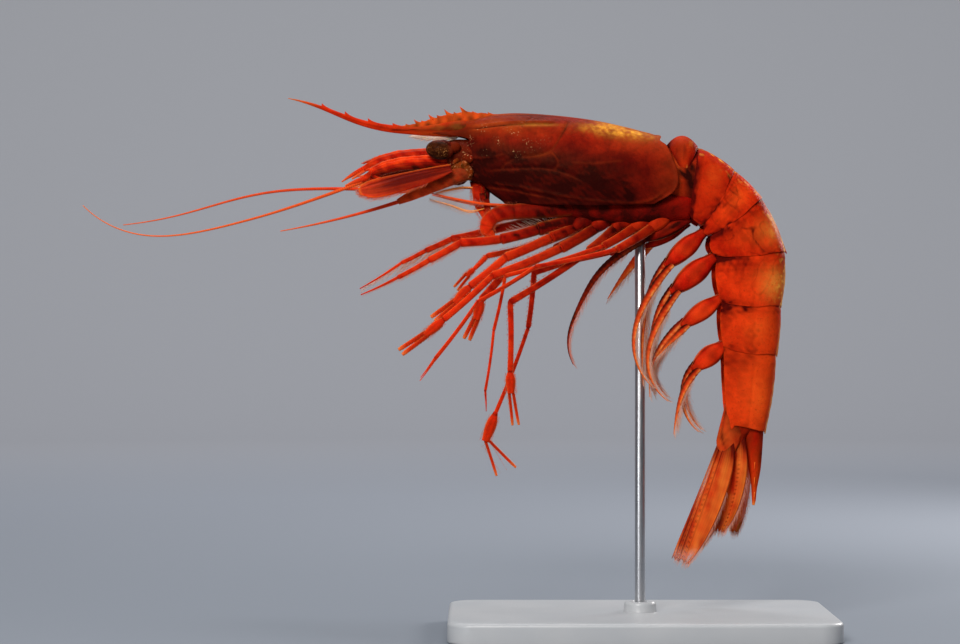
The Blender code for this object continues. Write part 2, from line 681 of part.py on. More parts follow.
# Swimming legs: (x, z) of the root, distance from the middle plane, the broad stalk, then its two branches.
# A stalk is (length, pitch, lean, half depth). A branch is (length, pitches, leans, half depth at its foot).
SWIMMERS = {
    (1, LEFT): ((10.6, 97.9), 2.6, (11.0, 203, 2, 1.5), [(38.4, [206, 218, 240, 252, 298], [8, 2, 0], 0.9)]),
    (1, RIGHT): ((10.6, 97.6), 2.6, (10.6, 209, 2, 1.4), [(16.6, [226, 238], [6], 0.95)]),
    (2, LEFT): ((13.6, 94.9), 3.6, (9.8, 219, 8, 2.9),
                [(33.4, [226, 254, 318], [6, 4, 0], 0.9), (31.4, [233, 263, 274], [-5, -2, 0], 0.7)]),
    (2, RIGHT): ((13.6, 94.9), 3.6, (9.8, 221, 8, 2.9),
                 [(31.0, [228, 256, 308], [5, 3, 0], 0.8), (30.4, [233, 266, 276], [-5, -2, 0], 0.7)]),
    (3, LEFT): ((15.7, 88.9), 3.4, (10.6, 221, 6, 3.0),
                [(29.9, [228, 256, 324], [8, 4, 0], 0.9), (28.0, [232, 262, 272], [-5, -2, 0], 0.7)]),
    (3, RIGHT): ((15.7, 88.9), 3.4, (10.4, 223, 6, 3.0),
                 [(28.0, [232, 259, 314], [7, 4, 0], 0.8), (27.4, [232, 264, 276], [-5, -2, 0], 0.7)]),
    (4, LEFT): ((17.6, 79.3), 3.2, (9.2, 216, 5, 2.4),
                [(11.0, [220, 230], [10], 0.6), (19.8, [222, 240, 288], [-4, -2, 0], 0.8)]),
    (4, RIGHT): ((17.6, 79.3), 3.2, (9.2, 218, 5, 2.4),
                 [(18.4, [222, 240, 274], [16, 10], 0.6), (19.2, [226, 242, 284], [-4, -2, 0], 0.7)]),
    (5, LEFT): ((18.6, 68.4), 3.0, (7.4, 219, 5, 2.7),
                [(17.4, [222, 244, 266], [8, 4], 0.7), (18.4, [230, 272, 320], [-3, -2, 0], 0.7)]),
    (5, RIGHT): ((18.6, 68.4), 3.0, (7.2, 222, 5, 2.6),
                 [(16.0, [224, 250, 270], [8, 4], 0.6), (17.4, [234, 276, 316], [-3, -2, 0], 0.6)]),
}


BRANCH_STEP = 4.2  # length of each straight facet along a branch


def swimmer(number, hand):
    (x, z), spacing, stalk, branches = SWIMMERS[number, hand]
    length, pitch, lean, half = stalk
    direction = heading(pitch, lean, hand)
    root = Vector((x, hand * spacing, z)) + direction * (0.7 + 0.35 * half)
    end = root + direction * (length - 0.7 - 0.35 * half)
    path = [root, root.lerp(end, 0.3), root.lerp(end, 0.8), end]
    halves = [(0.7, half * 0.7), (1.0, half), (1.0, half * 0.95), (0.7, half * 0.55)]
    pieces = [tube(path, halves, 8)]
    _, up = square_to(direction)
    for k, (reach, pitches, leans, thick) in enumerate(branches):
        start = end - direction * 0.9
        if len(branches) == 2:  # the outer branch leaves above and outside the inner one
            start += (Vector((0, hand * 0.6, 0)) + up * (half * 0.7)) * (0.5 - k)
        steps = max(4, round(reach / BRANCH_STEP))
        pieces.append(swept(start, hand, reach, pitches, leans, [thick, thick * 0.6, THIN], steps, 6, 0.5))
    return joined(pieces)


# ---------------------------------------------------------------- stand


def stand_base():
    outline = []
    for corner_x, corner_y, start in ((1, 1, 0), (-1, 1, 90), (-1, -1, 180), (1, -1, 270)):
        for k in range(5):
            angle = math.radians(start + 22.5 * k)
            x = corner_x * (BASE_LENGTH / 2 - BASE_CORNER) + BASE_CORNER * math.cos(angle)
            y = corner_y * (BASE_WIDTH / 2 - BASE_CORNER) + BASE_CORNER * math.sin(angle)
            outline.append((x, y))
    levels = [(0.0, 0.4), (0.4, 0.0), (BASE_HEIGHT - 0.8, 0.0), (BASE_HEIGHT, 0.8)]  # height, inset
    rings = []
    for height, inset in levels:
        shrink_x, shrink_y = 1 - 2 * inset / BASE_LENGTH, 1 - 2 * inset / BASE_WIDTH
        rings.append([Vector((x * shrink_x, y * shrink_y, height)) for x, y in outline])
    boss = cylinder(BOSS_RADIUS, BASE_HEIGHT - 1.0, BASE_HEIGHT + BOSS_HEIGHT, 24, BOSS_RADIUS * 0.85)
    return joined([loft(rings), boss])


def cylinder(radius, low, high, sides, top_radius=None):
    shape = bmesh.new()
    bmesh.ops.create_cone(
        shape, cap_ends=True, segments=sides, radius1=radius, radius2=top_radius or radius, depth=high - low
    )
    bmesh.ops.translate(shape, vec=(0, 0, (low + high) / 2), verts=shape.verts)
    return shape


def stand_rod():
    return cylinder(ROD_RADIUS, BASE_HEIGHT + BOSS_HEIGHT + GAP, THORAX_FLOOR - GAP, 16)


# ---------------------------------------------------------------- the whole model


FINISHES = {  # colour, roughness, metallic
    "carapace": ((0.2, 0.03, 0.02), 0.3, 0.0),
    "shell": ((0.5, 0.06, 0.02), 0.3, 0.0),
    "limb": ((0.6, 0.05, 0.02), 0.35, 0.0),
    "fin": ((0.6, 0.14, 0.06), 0.35, 0.0),
    "feeler": ((0.65, 0.1, 0.03), 0.4, 0.0),
    "eye": ((0.03, 0.015, 0.01), 0.12, 0.0),
    "stand_base": ((0.8, 0.79, 0.76), 0.5, 0.0),
    "stand_rod": ((0.6, 0.6, 0.61), 0.3, 1.0),
}


def main():
    clear_scene()
    finish = {name: make_material(name, *values) for name, values in FINISHES.items()}

    new_object("stand_base", stand_base(), finish["stand_base"])
    new_object("stand_rod", stand_rod(), finish["stand_rod"])
    new_object("carapace", carapace(), finish["carapace"])
    new_object("rostrum", rostrum(), finish["shell"])
    new_object("head", head(), finish["carapace"])
    new_object("thorax", thorax(), finish["limb"])
    new_object("mouthparts", mouthparts(), finish["limb"])
    new_object("antennule_flagellum_left", long_antennule_flagellum(), finish["feeler"])
    new_object("telson", telson(), finish["shell"])
    for number in range(1, 7):
        new_object(f"abdomen_{number}", abdomen_segment(number), finish["shell"])
    for hand, label in SIDE_NAMES.items():
        x, y, z = EYE_CENTRE
        new_object(f"eye_{label}", ball((x, hand * y, z), EYE_HALVES), finish["eye"])
        new_object(f"antennule_{label}", antennule(hand), finish["limb"])
        new_object(f"antenna_{label}", antenna(hand), finish["limb"])
        new_object(f"antenna_flagellum_{label}", antenna_flagellum(hand), finish["feeler"])
        new_object(f"antenna_scale_{label}", antenna_scale(hand), finish["fin"])
        for rank, jaws in (("second", SECOND_MAXILLIPEDS), ("third", THIRD_MAXILLIPEDS)):
            (x, y, z), articles = jaws[hand]
            new_object(f"maxilliped_{rank}_{label}", limb((x, hand * y, z), hand, articles), finish["limb"])
        for number in range(1, 6):
            new_object(f"leg_{number}_{label}", walking_leg(number, hand), finish["limb"])
            new_object(f"swimmer_{number}_{label}", swimmer(number, hand), finish["limb"])
        for number in range(1, 4):
            new_object(f"pincer_{number}_{label}", pincer(number, hand), finish["limb"])
        for which in ("outer", "inner"):
            new_object(f"tail_{which}_{label}", fan_blade(which, hand), finish["fin"])


main()
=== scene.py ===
import math

import bpy
import numpy as np
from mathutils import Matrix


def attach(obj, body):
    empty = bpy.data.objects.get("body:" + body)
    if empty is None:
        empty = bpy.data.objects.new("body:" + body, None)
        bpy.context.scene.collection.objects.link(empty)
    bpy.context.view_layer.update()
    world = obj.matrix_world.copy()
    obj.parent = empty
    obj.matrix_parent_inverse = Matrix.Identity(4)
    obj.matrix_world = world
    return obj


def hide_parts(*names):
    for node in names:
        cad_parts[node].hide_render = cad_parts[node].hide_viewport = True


# Looks of the giant red shrimp on its stand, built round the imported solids.
# Lengths below are in millimetres and angles in degrees; each finished mesh is scaled to metres.
# A pitch is an angle in the side view: 0 points backwards (+X), 90 up and 180 forwards.
# A lean turns a piece away from the middle plane. The shrimp's left side is towards -Y.

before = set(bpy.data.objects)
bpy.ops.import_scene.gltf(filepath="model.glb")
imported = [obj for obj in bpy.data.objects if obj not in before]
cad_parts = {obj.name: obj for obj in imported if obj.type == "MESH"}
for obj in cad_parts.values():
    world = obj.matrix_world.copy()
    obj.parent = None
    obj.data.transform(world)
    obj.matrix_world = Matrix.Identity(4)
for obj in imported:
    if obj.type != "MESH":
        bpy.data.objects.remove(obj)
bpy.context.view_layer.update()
mm = 0.001
left, right = -1, 1
print("frame loaded:", len(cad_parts), "nodes")


# curves and numbers

def throughPoints(points, shares):
    # a smooth curve that passes evenly through a few points, read at shares from 0 to 1
    points = np.array(points, float)
    if points.ndim == 1:
        return throughPoints(points[:, None], shares)[..., 0]
    last = len(points) - 1
    place = np.clip(shares, 0, 1) * last
    k = np.minimum(place.astype(int), last - 1)
    t = (place - k)[..., None]
    near, far = points[k], points[k + 1]
    before = np.where((k > 0)[..., None], points[np.maximum(k - 1, 0)], near * 2 - far)
    after = np.where((k + 2 <= last)[..., None], points[np.minimum(k + 2, last)], far * 2 - near)
    bend = (before * 2 - near * 5 + far * 4 - after) * t ** 2
    return (near * 2 + (far - before) * t + bend + (near * 3 - before - far * 3 + after) * t ** 3) / 2


def spread(values, shares):
    # values at even steps, read straight between them
    return np.interp(shares, np.linspace(0, 1, len(values)), values)


def rise(value, low, high):
    # 0 below low, 1 above high, and smooth between them
    t = np.clip((value - low) / (high - low), 0, 1)
    return t * t * (3 - 2 * t)


def bell(value, centre, width):
    return np.exp(-(((value - centre) / width) ** 2))


def blob(x, z, centre, radii):
    return np.exp(-(((x - centre[0]) / radii[0]) ** 2) - ((z - centre[1]) / radii[1]) ** 2)


def nearLine(x, z, points, width):
    # 1 on a smooth line drawn in the side view, 0 away from it and past its ends
    fade = 0.12  # the share of its length over which each end dies away
    shares = np.linspace(0, 1, 150)
    line = throughPoints(points, shares)
    best = np.full(np.shape(x), 1e9)
    where = np.zeros(np.shape(x))
    for share, (cx, cz) in zip(shares, line):
        gap = (x - cx) ** 2 + (z - cz) ** 2
        where = np.where(gap < best, share, where)
        best = np.minimum(best, gap)
    ends = rise(where, 0, fade) * rise(1 - where, 0, fade)
    return np.exp(-best / width ** 2) * ends


def waves(x, y, z, size, seed):
    # a soft pattern from -1 to 1 made of a few crossing waves
    draw = np.random.default_rng(seed)
    total = 0
    for _ in range(6):
        a, b, c = draw.normal(0, 1, 3) / size
        total = total + np.sin(a * x + b * y + c * z + draw.uniform(0, 6.3))
    return total / 4


def wavesOn(grid, size, seed):
    return waves(grid[..., 0], grid[..., 1], grid[..., 2], size, seed)


def softened(value, power):
    # a signed power: under 1 it squares off a round section, over 1 it sharpens it
    return np.sign(value) * np.abs(value) ** power


def ringAngles(count, shift=0.5):
    return 2 * np.pi * (np.arange(count) + shift) / count


def heading(pitch, lean, hand):
    pitch, lean = np.radians(pitch), np.radians(lean)
    flat = np.cos(lean)
    return np.stack([flat * np.cos(pitch), hand * np.sin(lean) + 0 * pitch, flat * np.sin(pitch)], -1)


def unit(vectors):
    return vectors / np.maximum(np.linalg.norm(vectors, axis=-1, keepdims=True), 1e-9)


def crossAxes(axis):
    # the direction square to an axis that is nearest to the Y axis, and the one square to both
    side = unit(np.array([0.0, 1.0, 0.0]) - axis * axis[..., 1:2])
    return side, np.cross(axis, side)


def framesAlong(path):
    tangent = unit(np.gradient(path, axis=0))
    return tangent, *crossAxes(tangent)


def outwardNormals(grid, axis):
    # normals that face along X (0) or Z (2) in the middle of the grid
    normals = unit(np.cross(np.gradient(grid, axis=0), np.gradient(grid, axis=1)))
    rows, columns = grid.shape[:2]
    return normals * np.sign(normals[rows // 2, columns // 2, axis])


# meshes are grids of points; a part keeps its points, faces, UV corners and tints
# the tint of a point is (dark, glow, pale, specks and glints), which the materials turn into colour; besides
# the animal's own colours it carries painted shade, painted highlights and painted glints

def tinted(shape, dark=0.0, glow=0.0, pale=0.0, specksAndGlints=0.0):
    tint = np.zeros((*shape, 4))
    for k, value in enumerate((dark, glow, pale, specksAndGlints)):
        value = np.asarray(value, float)
        tint[..., k] = value[:, None] if value.ndim == 1 and len(shape) == 2 else value
    return np.clip(tint, 0, 1)


def gridPart(grid, tint=None, caps=(True, True), across=None):
    rows, columns = grid.shape[:2]
    index = np.arange(rows * columns).reshape(rows, columns)
    after = np.roll(index, -1, 1)
    quads = np.stack([index[:-1], after[:-1], after[1:], index[1:]], -1).reshape(-1, 4)
    edge = 0.04
    u = edge + (1 - 2 * edge) * np.linspace(0, 1, rows)
    v = np.linspace(0.02, 0.98, columns + 1) if across is None else across
    uHere, vHere = np.meshgrid(u[:-1], v[:-1], indexing="ij")
    uNext, vNext = np.meshgrid(u[1:], v[1:], indexing="ij")
    quadUvs = np.stack([uHere, vHere, uHere, vNext, uNext, vNext, uNext, vHere], -1).reshape(-1, 4, 2)
    points = grid.reshape(-1, 3)
    colours = (np.zeros((rows, columns, 4)) if tint is None else tint).reshape(-1, 4)
    tris, triUvs = [], []
    for wanted, row, uRim, uMiddle in ((caps[0], 0, edge, 0.005), (caps[1], rows - 1, 1 - edge, 0.995)):
        if not wanted:
            continue
        middle = len(points)
        points = np.vstack([points, grid[row].mean(0)])
        colours = np.vstack([colours, colours[index[row]].mean(0)])
        for j in range(columns):
            ends = (index[row, j], index[row, (j + 1) % columns])
            fan = (ends[1], ends[0], middle) if row == 0 else (ends[0], ends[1], middle)
            uvs = [(uRim, v[j + 1]), (uRim, v[j])] if row == 0 else [(uRim, v[j]), (uRim, v[j + 1])]
            tris.append(fan)
            triUvs.append(uvs + [(uMiddle, (v[j] + v[j + 1]) / 2)])
    part = dict(points=points, tint=colours, quads=quads, quadUvs=quadUvs)
    part["tris"] = np.array(tris, int).reshape(-1, 3)
    part["triUvs"] = np.array(triUvs, float).reshape(-1, 3, 2)
    return facingOut(part)


def facingOut(part):
    points, quads, tris = part["points"], part["quads"], part["tris"]
    volume = 0.0
    for a, b, c in ((0, 1, 2), (0, 2, 3)):
        corners = points[quads[:, [a, b, c]]]
        volume += np.linalg.det(corners).sum()
    if len(tris):
        volume += np.linalg.det(points[tris]).sum()
    if volume < 0:
        part["quads"], part["quadUvs"] = quads[:, ::-1], part["quadUvs"][:, ::-1]
        part["tris"], part["triUvs"] = tris[:, ::-1], part["triUvs"][:, ::-1]
    return part


def platePart(outer, inner, tint):
    # a thin plate from its outer and inner grids, closed along both edges and at both ends
    columns = outer.shape[1]
    loop = np.concatenate([outer, inner[:, ::-1]], axis=1)
    colours = np.concatenate([tint, tint[:, ::-1]], axis=1)
    across = np.concatenate([np.linspace(0.02, 0.74, columns), np.linspace(0.76, 0.97, columns), [0.98]])
    part = gridPart(loop, colours, caps=(False, False), across=across)
    flipped = not np.array_equal(part["quads"][0], [0, 1, 2 * columns + 1, 2 * columns])
    index = np.arange(loop.shape[0] * 2 * columns).reshape(loop.shape[0], 2 * columns)
    strips, uvs = [], []
    for row, turn in ((0, False), (loop.shape[0] - 1, True)):
        a, b = index[row, :columns - 1], index[row, 1:columns]
        c, d = index[row, ::-1][1:columns], index[row, ::-1][:columns - 1]
        strip = np.stack([b, a, d, c], -1)
        strips.append(strip[:, ::-1] if turn != flipped else strip)
        share = np.linspace(0.02, 0.74, columns)
        low, high = (0.005, 0.035) if row == 0 else (0.965, 0.995)
        corners = np.stack([share[1:], share[:-1], share[:-1], share[1:]], -1)
        uv = np.stack([np.broadcast_to([high, high, low, low], corners.shape), corners], -1)
        uvs.append(uv[:, ::-1] if turn != flipped else uv)
    part["quads"] = np.vstack([part["quads"], *strips])
    part["quadUvs"] = np.vstack([part["quadUvs"], *uvs])
    return part


def tubeGrid(path, wide, deep, sides=16, squareness=1.0):
    _, side, up = framesAlong(path)
    angle = ringAngles(sides)
    wide, deep = np.broadcast_to(wide, len(path)), np.broadcast_to(deep, len(path))
    across, upwards = softened(np.cos(angle), squareness), softened(np.sin(angle), squareness)
    ring = side[:, None] * (across * wide[:, None])[..., None]
    return path[:, None] + ring + up[:, None] * (upwards * deep[:, None])[..., None]


def turnedGrid(profile, sides):
    # rings round the Z axis from a list of (radius, height)
    angle = ringAngles(sides, 0)
    return np.array([np.stack([radius * np.cos(angle), radius * np.sin(angle), 0 * angle + height], -1)
                     for radius, height in profile])


def tintedPart(grid, dark=0.0, glow=0.0, pale=0.0, specksAndGlints=0.0):
    return gridPart(grid, tinted(grid.shape[:2], dark, glow, pale, specksAndGlints))


def chain(root, hand, articles):
    # the joints of a limb; each article is (length, pitch, lean, half thickness)
    joints = [np.array(root, float)]
    for length, pitch, lean, _ in articles:
        joints.append(joints[-1] + heading(pitch, lean, hand) * length)
    return joints


def sweep(root, hand, length, pitches, leans, steps):
    # a line that bends evenly, its pitches and leans spread along it
    shares = (np.arange(steps) + 0.5) / steps
    moves = heading(throughPoints(pitches, shares) if len(pitches) > 1 else pitches[0] + 0 * shares,
                    spread(leans, shares), hand)
    return np.vstack([root, np.array(root) + np.cumsum(moves * (length / steps), axis=0)])


sideNames = {left: "Left", right: "Right"}


def makePiece(name, parts, look, nodes=(), crease=None):
    # joins parts into one piece; each part's UVs go into a cell of their own
    side = math.ceil(math.sqrt(len(parts)))
    points, tints, faces, uvs = [], [], [], []
    offset = 0
    for k, part in enumerate(parts):
        corner = np.array([k % side, k // side]) / side
        points.append(part["points"])
        tints.append(part["tint"])
        for shapes, corners, patch in (("quads", "quadUvs", "quadPatch"), ("tris", "triUvs", "triPatch")):
            if not len(part[shapes]):
                continue
            faces += (part[shapes] + offset).tolist()
            uvs.append((corner + part[corners] / side + part.get(patch, 0)).reshape(-1, 2))
        offset += len(part["points"])
    mesh = bpy.data.meshes.new(name)
    mesh.from_pydata((np.vstack(points) * mm).tolist(), [], faces)
    layer = mesh.uv_layers.new(name="OFBake")
    layer.data.foreach_set("uv", np.vstack(uvs).astype(np.float32).ravel())
    colours = mesh.color_attributes.new("tint", "FLOAT_COLOR", "POINT")
    colours.data.foreach_set("color", np.vstack(tints).astype(np.float32).ravel())
    mesh.materials.append(finish[look])
    mesh.shade_smooth()
    if crease:
        mesh.set_sharp_from_angle(angle=math.radians(crease))
    piece = bpy.data.objects.new(name, mesh)
    bpy.context.scene.collection.objects.link(piece)
    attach(piece, "root")
    if nodes:
        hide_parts(*nodes)
    return piece


def sidePiece(name, hand, parts, look):
    # a left or right piece, named after the node that it replaces: Leg1Left for leg_1_left
    name = name + sideNames[hand]
    node = "".join("_" + sign.lower() if sign.isupper() or sign.isdigit() else sign for sign in name)
    makePiece(name, parts, look, [node[1:]])


# materials

def fill(node, **values):
    # links sockets and sets plain values; an underscore stands for a space, and slot3 is input 3
    for key, value in values.items():
        socket = node.inputs[int(key[4:])] if key.startswith("slot") else node.inputs[key.replace("_", " ")]
        if isinstance(value, bpy.types.NodeSocket):
            node.id_data.links.new(value, socket)
        else:
            socket.default_value = value


def addNode(tree, kind, settings=None, **inputs):
    node = tree.nodes.new(kind)
    for key, value in (settings or {}).items():
        setattr(node, key, value)
    fill(node, **inputs)
    return node


def mixColours(share, first, second):
    # slots 6 and 7 of a Mix node are its two colours, and output 2 is the mixed one
    first, second = ((*value, 1) if isinstance(value, tuple) else value for value in (first, second))
    settings = dict(data_type="RGBA")
    node = addNode(share.id_data, "ShaderNodeMix", settings, slot0=share, slot6=first, slot7=second)
    return node.outputs[2]


def layered(colour, *layers):
    # each layer is (share, colour) and lies over the ones before it
    for share, over in layers:
        colour = mixColours(share, colour, over)
    return colour


def calculate(operation, first, second, clamp=False):
    # the second value is a socket or a number, and the first one too if the second is a socket
    tree = (first if isinstance(first, bpy.types.NodeSocket) else second).id_data
    settings = dict(operation=operation, use_clamp=clamp)
    return addNode(tree, "ShaderNodeMath", settings, slot0=first, slot1=second).outputs[0]


def product(first, second, clamp=False):
    return calculate("MULTIPLY", first, second, clamp)


def summed(first, second, clamp=False):
    return calculate("ADD", first, second, clamp)


def remap(value, lows, highs):
    return addNode(value.id_data, "ShaderNodeMapRange", slot0=value, slot1=lows[0], slot2=lows[1],
                   slot3=highs[0], slot4=highs[1]).outputs[0]


def noise(where, scale, detail=3.0, rough=0.55, warp=0.0):
    return addNode(where.id_data, "ShaderNodeTexNoise", Vector=where, Scale=scale, Detail=detail,
                   Roughness=rough, Distortion=warp).outputs[0]


def cells(where, scale):
    return addNode(where.id_data, "ShaderNodeTexVoronoi", Vector=where, Scale=scale).outputs["Distance"]


def bumpFrom(height, strength, distance):
    node = addNode(height.id_data, "ShaderNodeBump", Strength=strength, Distance=distance, Height=height)
    return node.outputs[0]


def tintSockets(tree):
    # dark, glow, pale, and specks with painted glints, as the points carry them
    tint = addNode(tree, "ShaderNodeAttribute", dict(attribute_name="tint"))
    parts = addNode(tree, "ShaderNodeSeparateColor", Color=tint.outputs["Color"])
    return [*parts.outputs, tint.outputs["Alpha"]]


def startMaterial(name):
    # the material, its shader and the object's own coordinates
    material = bpy.data.materials.new(name)
    material.use_nodes = True
    tree = material.node_tree
    return material, tree.nodes["Principled BSDF"], addNode(tree, "ShaderNodeTexCoord").outputs["Object"]


# cuticle: red shell over flesh; the tint darkens it, lights it orange, pales it and sets its specks, and
# besides the animal's own colours these carry painted shade, painted highlights and painted glints in places
cuticles = {
    "carapace": dict(
        base=(0.125, 0.0036, 0.0020), second=(0.34, 0.014, 0.0034), dark=(0.020, 0.0016, 0.0014),
        # the carapace's specks are pale: painted glints
        glow=(0.44, 0.060, 0.008), pale=(0.98, 0.42, 0.035), specksAndGlints=(0.95, 0.50, 0.22),
        size=150, bump=0.4, rough=(0.3, 0.5), gloss=0.03, scatter=0.05),
    "shell": dict(
        base=(0.46, 0.0075, 0.0018), second=(0.80, 0.034, 0.0040), dark=(0.065, 0.0020, 0.0016),
        glow=(0.94, 0.095, 0.010), pale=(0.98, 0.38, 0.05), specksAndGlints=(0.2, 0.008, 0.003),
        size=130, bump=0.45, rough=(0.3, 0.5), gloss=0.015, scatter=0.12),
    "limb": dict(
        base=(0.44, 0.0048, 0.0018), second=(0.80, 0.015, 0.0030), dark=(0.034, 0.0020, 0.0016),
        glow=(0.94, 0.072, 0.009), pale=(0.98, 0.36, 0.08), specksAndGlints=(0.2, 0.006, 0.003),
        size=260, bump=0.4, rough=(0.3, 0.5), gloss=0.04, scatter=0.1),
    "feeler": dict(
        base=(0.60, 0.016, 0.004), second=(0.74, 0.036, 0.007), dark=(0.26, 0.006, 0.003),
        glow=(0.84, 0.14, 0.022), pale=(0.9, 0.4, 0.14), specksAndGlints=(0.3, 0.012, 0.005),
        size=300, bump=0.15, rough=(0.3, 0.45), gloss=0.05, scatter=0.1),
    "flesh": dict(
        base=(0.22, 0.0048, 0.0022), second=(0.44, 0.014, 0.003), dark=(0.022, 0.0020, 0.0016),
        glow=(0.66, 0.075, 0.011), pale=(0.8, 0.34, 0.10), specksAndGlints=(0.1, 0.006, 0.003),
        size=200, bump=0.5, rough=(0.3, 0.5), gloss=0.03, scatter=0.15),
}
warmGloss = (1.0, 0.36, 0.16, 1)


def cuticleMaterial(name):
    look = cuticles[name]
    material, shader, where = startMaterial(name)
    dark, glow, pale, specksAndGlints = tintSockets(shader.id_data)
    broad = noise(where, look["size"], 4, 0.6, 0.4)
    fine = noise(where, look["size"] * 7, 3, 0.6)
    grain = noise(where, look["size"] * 26, 2, 0.5)
    crumbs = noise(where, look["size"] * 15, 2, 0.5)
    # the dark areas have soft, uneven borders
    uneven = product(remap(broad, (0.3, 0.7), (-0.22, 0.22)), dark)
    shade = summed(dark, uneven, True)
    # the pale layer is gold pigment in places and painted highlight in others
    goldAndPaintedLight = product(pale, remap(fine, (0.32, 0.58), (0.55, 1.15)), True)
    # specks: dark red ones on most pieces, and pale painted glints on the carapace
    speckAndGlintShare = product(remap(crumbs, (0.62, 0.73), (0, 1)), specksAndGlints, True)
    colour = layered(look["base"], (remap(broad, (0.36, 0.66), (0, 1)), look["second"]),
                     (remap(fine, (0.45, 0.75), (0, 0.35)), look["dark"]), (glow, look["glow"]),
                     (shade, look["dark"]), (goldAndPaintedLight, look["pale"]), (speckAndGlintShare, look["specksAndGlints"]))
    sheen = summed(product(fine, 0.6), product(grain, 0.4))
    height = summed(fine, product(grain, 0.45))
    fill(shader, Base_Color=colour, Roughness=remap(sheen, (0.3, 0.7), look["rough"]),
         Normal=bumpFrom(height, look["bump"], 0.00025), Subsurface_Weight=look["scatter"],
         Subsurface_Radius=(1.0, 0.25, 0.1), Subsurface_Scale=0.0016, Specular_IOR_Level=look["gloss"],
         Specular_Tint=warmGloss)
    return material


finLook = dict(
    base=(0.42, 0.010, 0.003), second=(0.66, 0.046, 0.007), dark=(0.095, 0.004, 0.002),
    glow=(0.78, 0.165, 0.022), clear=0.72, size=330, rough=(0.36, 0.55), scatter=0.3, gloss=0.025)


def finMaterial():
    # thin blades: orange, clearer towards their edges, with ribs and dots drawn by the tint
    look = finLook
    material, shader, where = startMaterial("fin")
    dark, glow, pale, _ = tintSockets(shader.id_data)
    broad = noise(where, look["size"], 4, 0.6, 0.5)
    fine = noise(where, look["size"] * 8, 2)
    colour = layered(look["base"], (remap(broad, (0.35, 0.68), (0, 1)), look["second"]),
                     (glow, look["glow"]), (dark, look["dark"]))
    opaque = calculate("SUBTRACT", 1.0, product(pale, look["clear"]), True)
    fill(shader, Base_Color=colour, Alpha=opaque, Roughness=remap(fine, (0.3, 0.7), look["rough"]),
         Normal=bumpFrom(fine, 0.3, 0.0002), Subsurface_Weight=look["scatter"],
         Subsurface_Radius=(1.0, 0.3, 0.12), Subsurface_Scale=0.001, Specular_IOR_Level=look["gloss"],
         Specular_Tint=warmGloss)
    return material


setaLook = dict(
    root=(0.45, 0.016, 0.004), tip=(0.70, 0.11, 0.025), warm=(0.75, 0.10, 0.02), straw=(0.85, 0.66, 0.52))


def setaMaterial():
    # fine bristles, orange at the root and straw coloured where the tint is pale
    material, shader, where = startMaterial("seta")
    _, glow, pale, _ = tintSockets(shader.id_data)
    warm = remap(noise(where, 400, 3), (0.4, 0.7), (0, 0.4))
    colour = layered(setaLook["root"], (glow, setaLook["tip"]), (warm, setaLook["warm"]),
                     (pale, setaLook["straw"]))
    fill(shader, Base_Color=colour, Roughness=0.5, Subsurface_Weight=0.2, Subsurface_Scale=0.0005)
    return material


eyeLook = dict(black=(0.012, 0.0028, 0.0012), brown=(0.078, 0.016, 0.004), gold=(0.60, 0.25, 0.07),
               rim=(0.22, 0.022, 0.008), facets=4200, crumbs=3400)


def eyeMaterial():
    # near-black cornea with fine facets and a golden sheen of pigment low at the back
    look = eyeLook
    material, shader, where = startMaterial("eye")
    _, glow, pale, _ = tintSockets(shader.id_data)
    broad = noise(where, 500, 4, 0.7, 0.8)
    crumbs = remap(cells(where, look["crumbs"]), (0.2, 0.42), (1, 0))
    bright = product(crumbs, remap(broad, (0.42, 0.56), (0, 1)))
    facets = bumpFrom(cells(where, look["facets"]), 0.5, 0.00008)
    colour = layered(look["black"], (remap(broad, (0.35, 0.7), (0, 1)), look["brown"]),
                     (product(pale, bright, True), look["gold"]), (glow, look["rim"]))
    fill(shader, Base_Color=colour, Normal=facets, Roughness=0.42, Specular_IOR_Level=0.03,
         Specular_Tint=warmGloss, Coat_Weight=0.012, Coat_Roughness=0.08)
    return material


def acrylicMaterial():
    material, shader, where = startMaterial("acrylic")
    fine = noise(where, 2600, 2)
    cloud = remap(noise(where, 60, 3), (0.35, 0.65), (0, 1))
    fill(shader, Base_Color=mixColours(cloud, (0.44, 0.455, 0.475), (0.48, 0.49, 0.505)),
         Roughness=remap(fine, (0.3, 0.7), (0.3, 0.42)), Normal=bumpFrom(fine, 0.12, 0.0001))
    return material


def steelMaterial():
    # brushed along the rod: noise stretched in Z
    material, shader, where = startMaterial("steel")
    stretched = addNode(where.id_data, "ShaderNodeMapping", Vector=where, Scale=(1, 1, 0.02)).outputs[0]
    lines = noise(stretched, 9000, 2)
    fill(shader, Base_Color=mixColours(lines, (0.52, 0.52, 0.53), (0.68, 0.68, 0.69)), Metallic=1.0,
         Roughness=remap(lines, (0.2, 0.8), (0.22, 0.38)), Normal=bumpFrom(lines, 0.2, 0.00005))
    return material


finish = {name: cuticleMaterial(name) for name in cuticles}
finish.update(fin=finMaterial(), seta=setaMaterial(), eye=eyeMaterial(),
              acrylic=acrylicMaterial(), steel=steelMaterial())
print("materials made:", len(finish))


# bristles: each is a thin three-sided spine that bends towards its tip

bristleSizes = [1.0, 0.8, 0.55, 0.16]  # shares of the thickness from root to tip
bakePatch = 0.003  # the side of a bristle's patch in the UV map


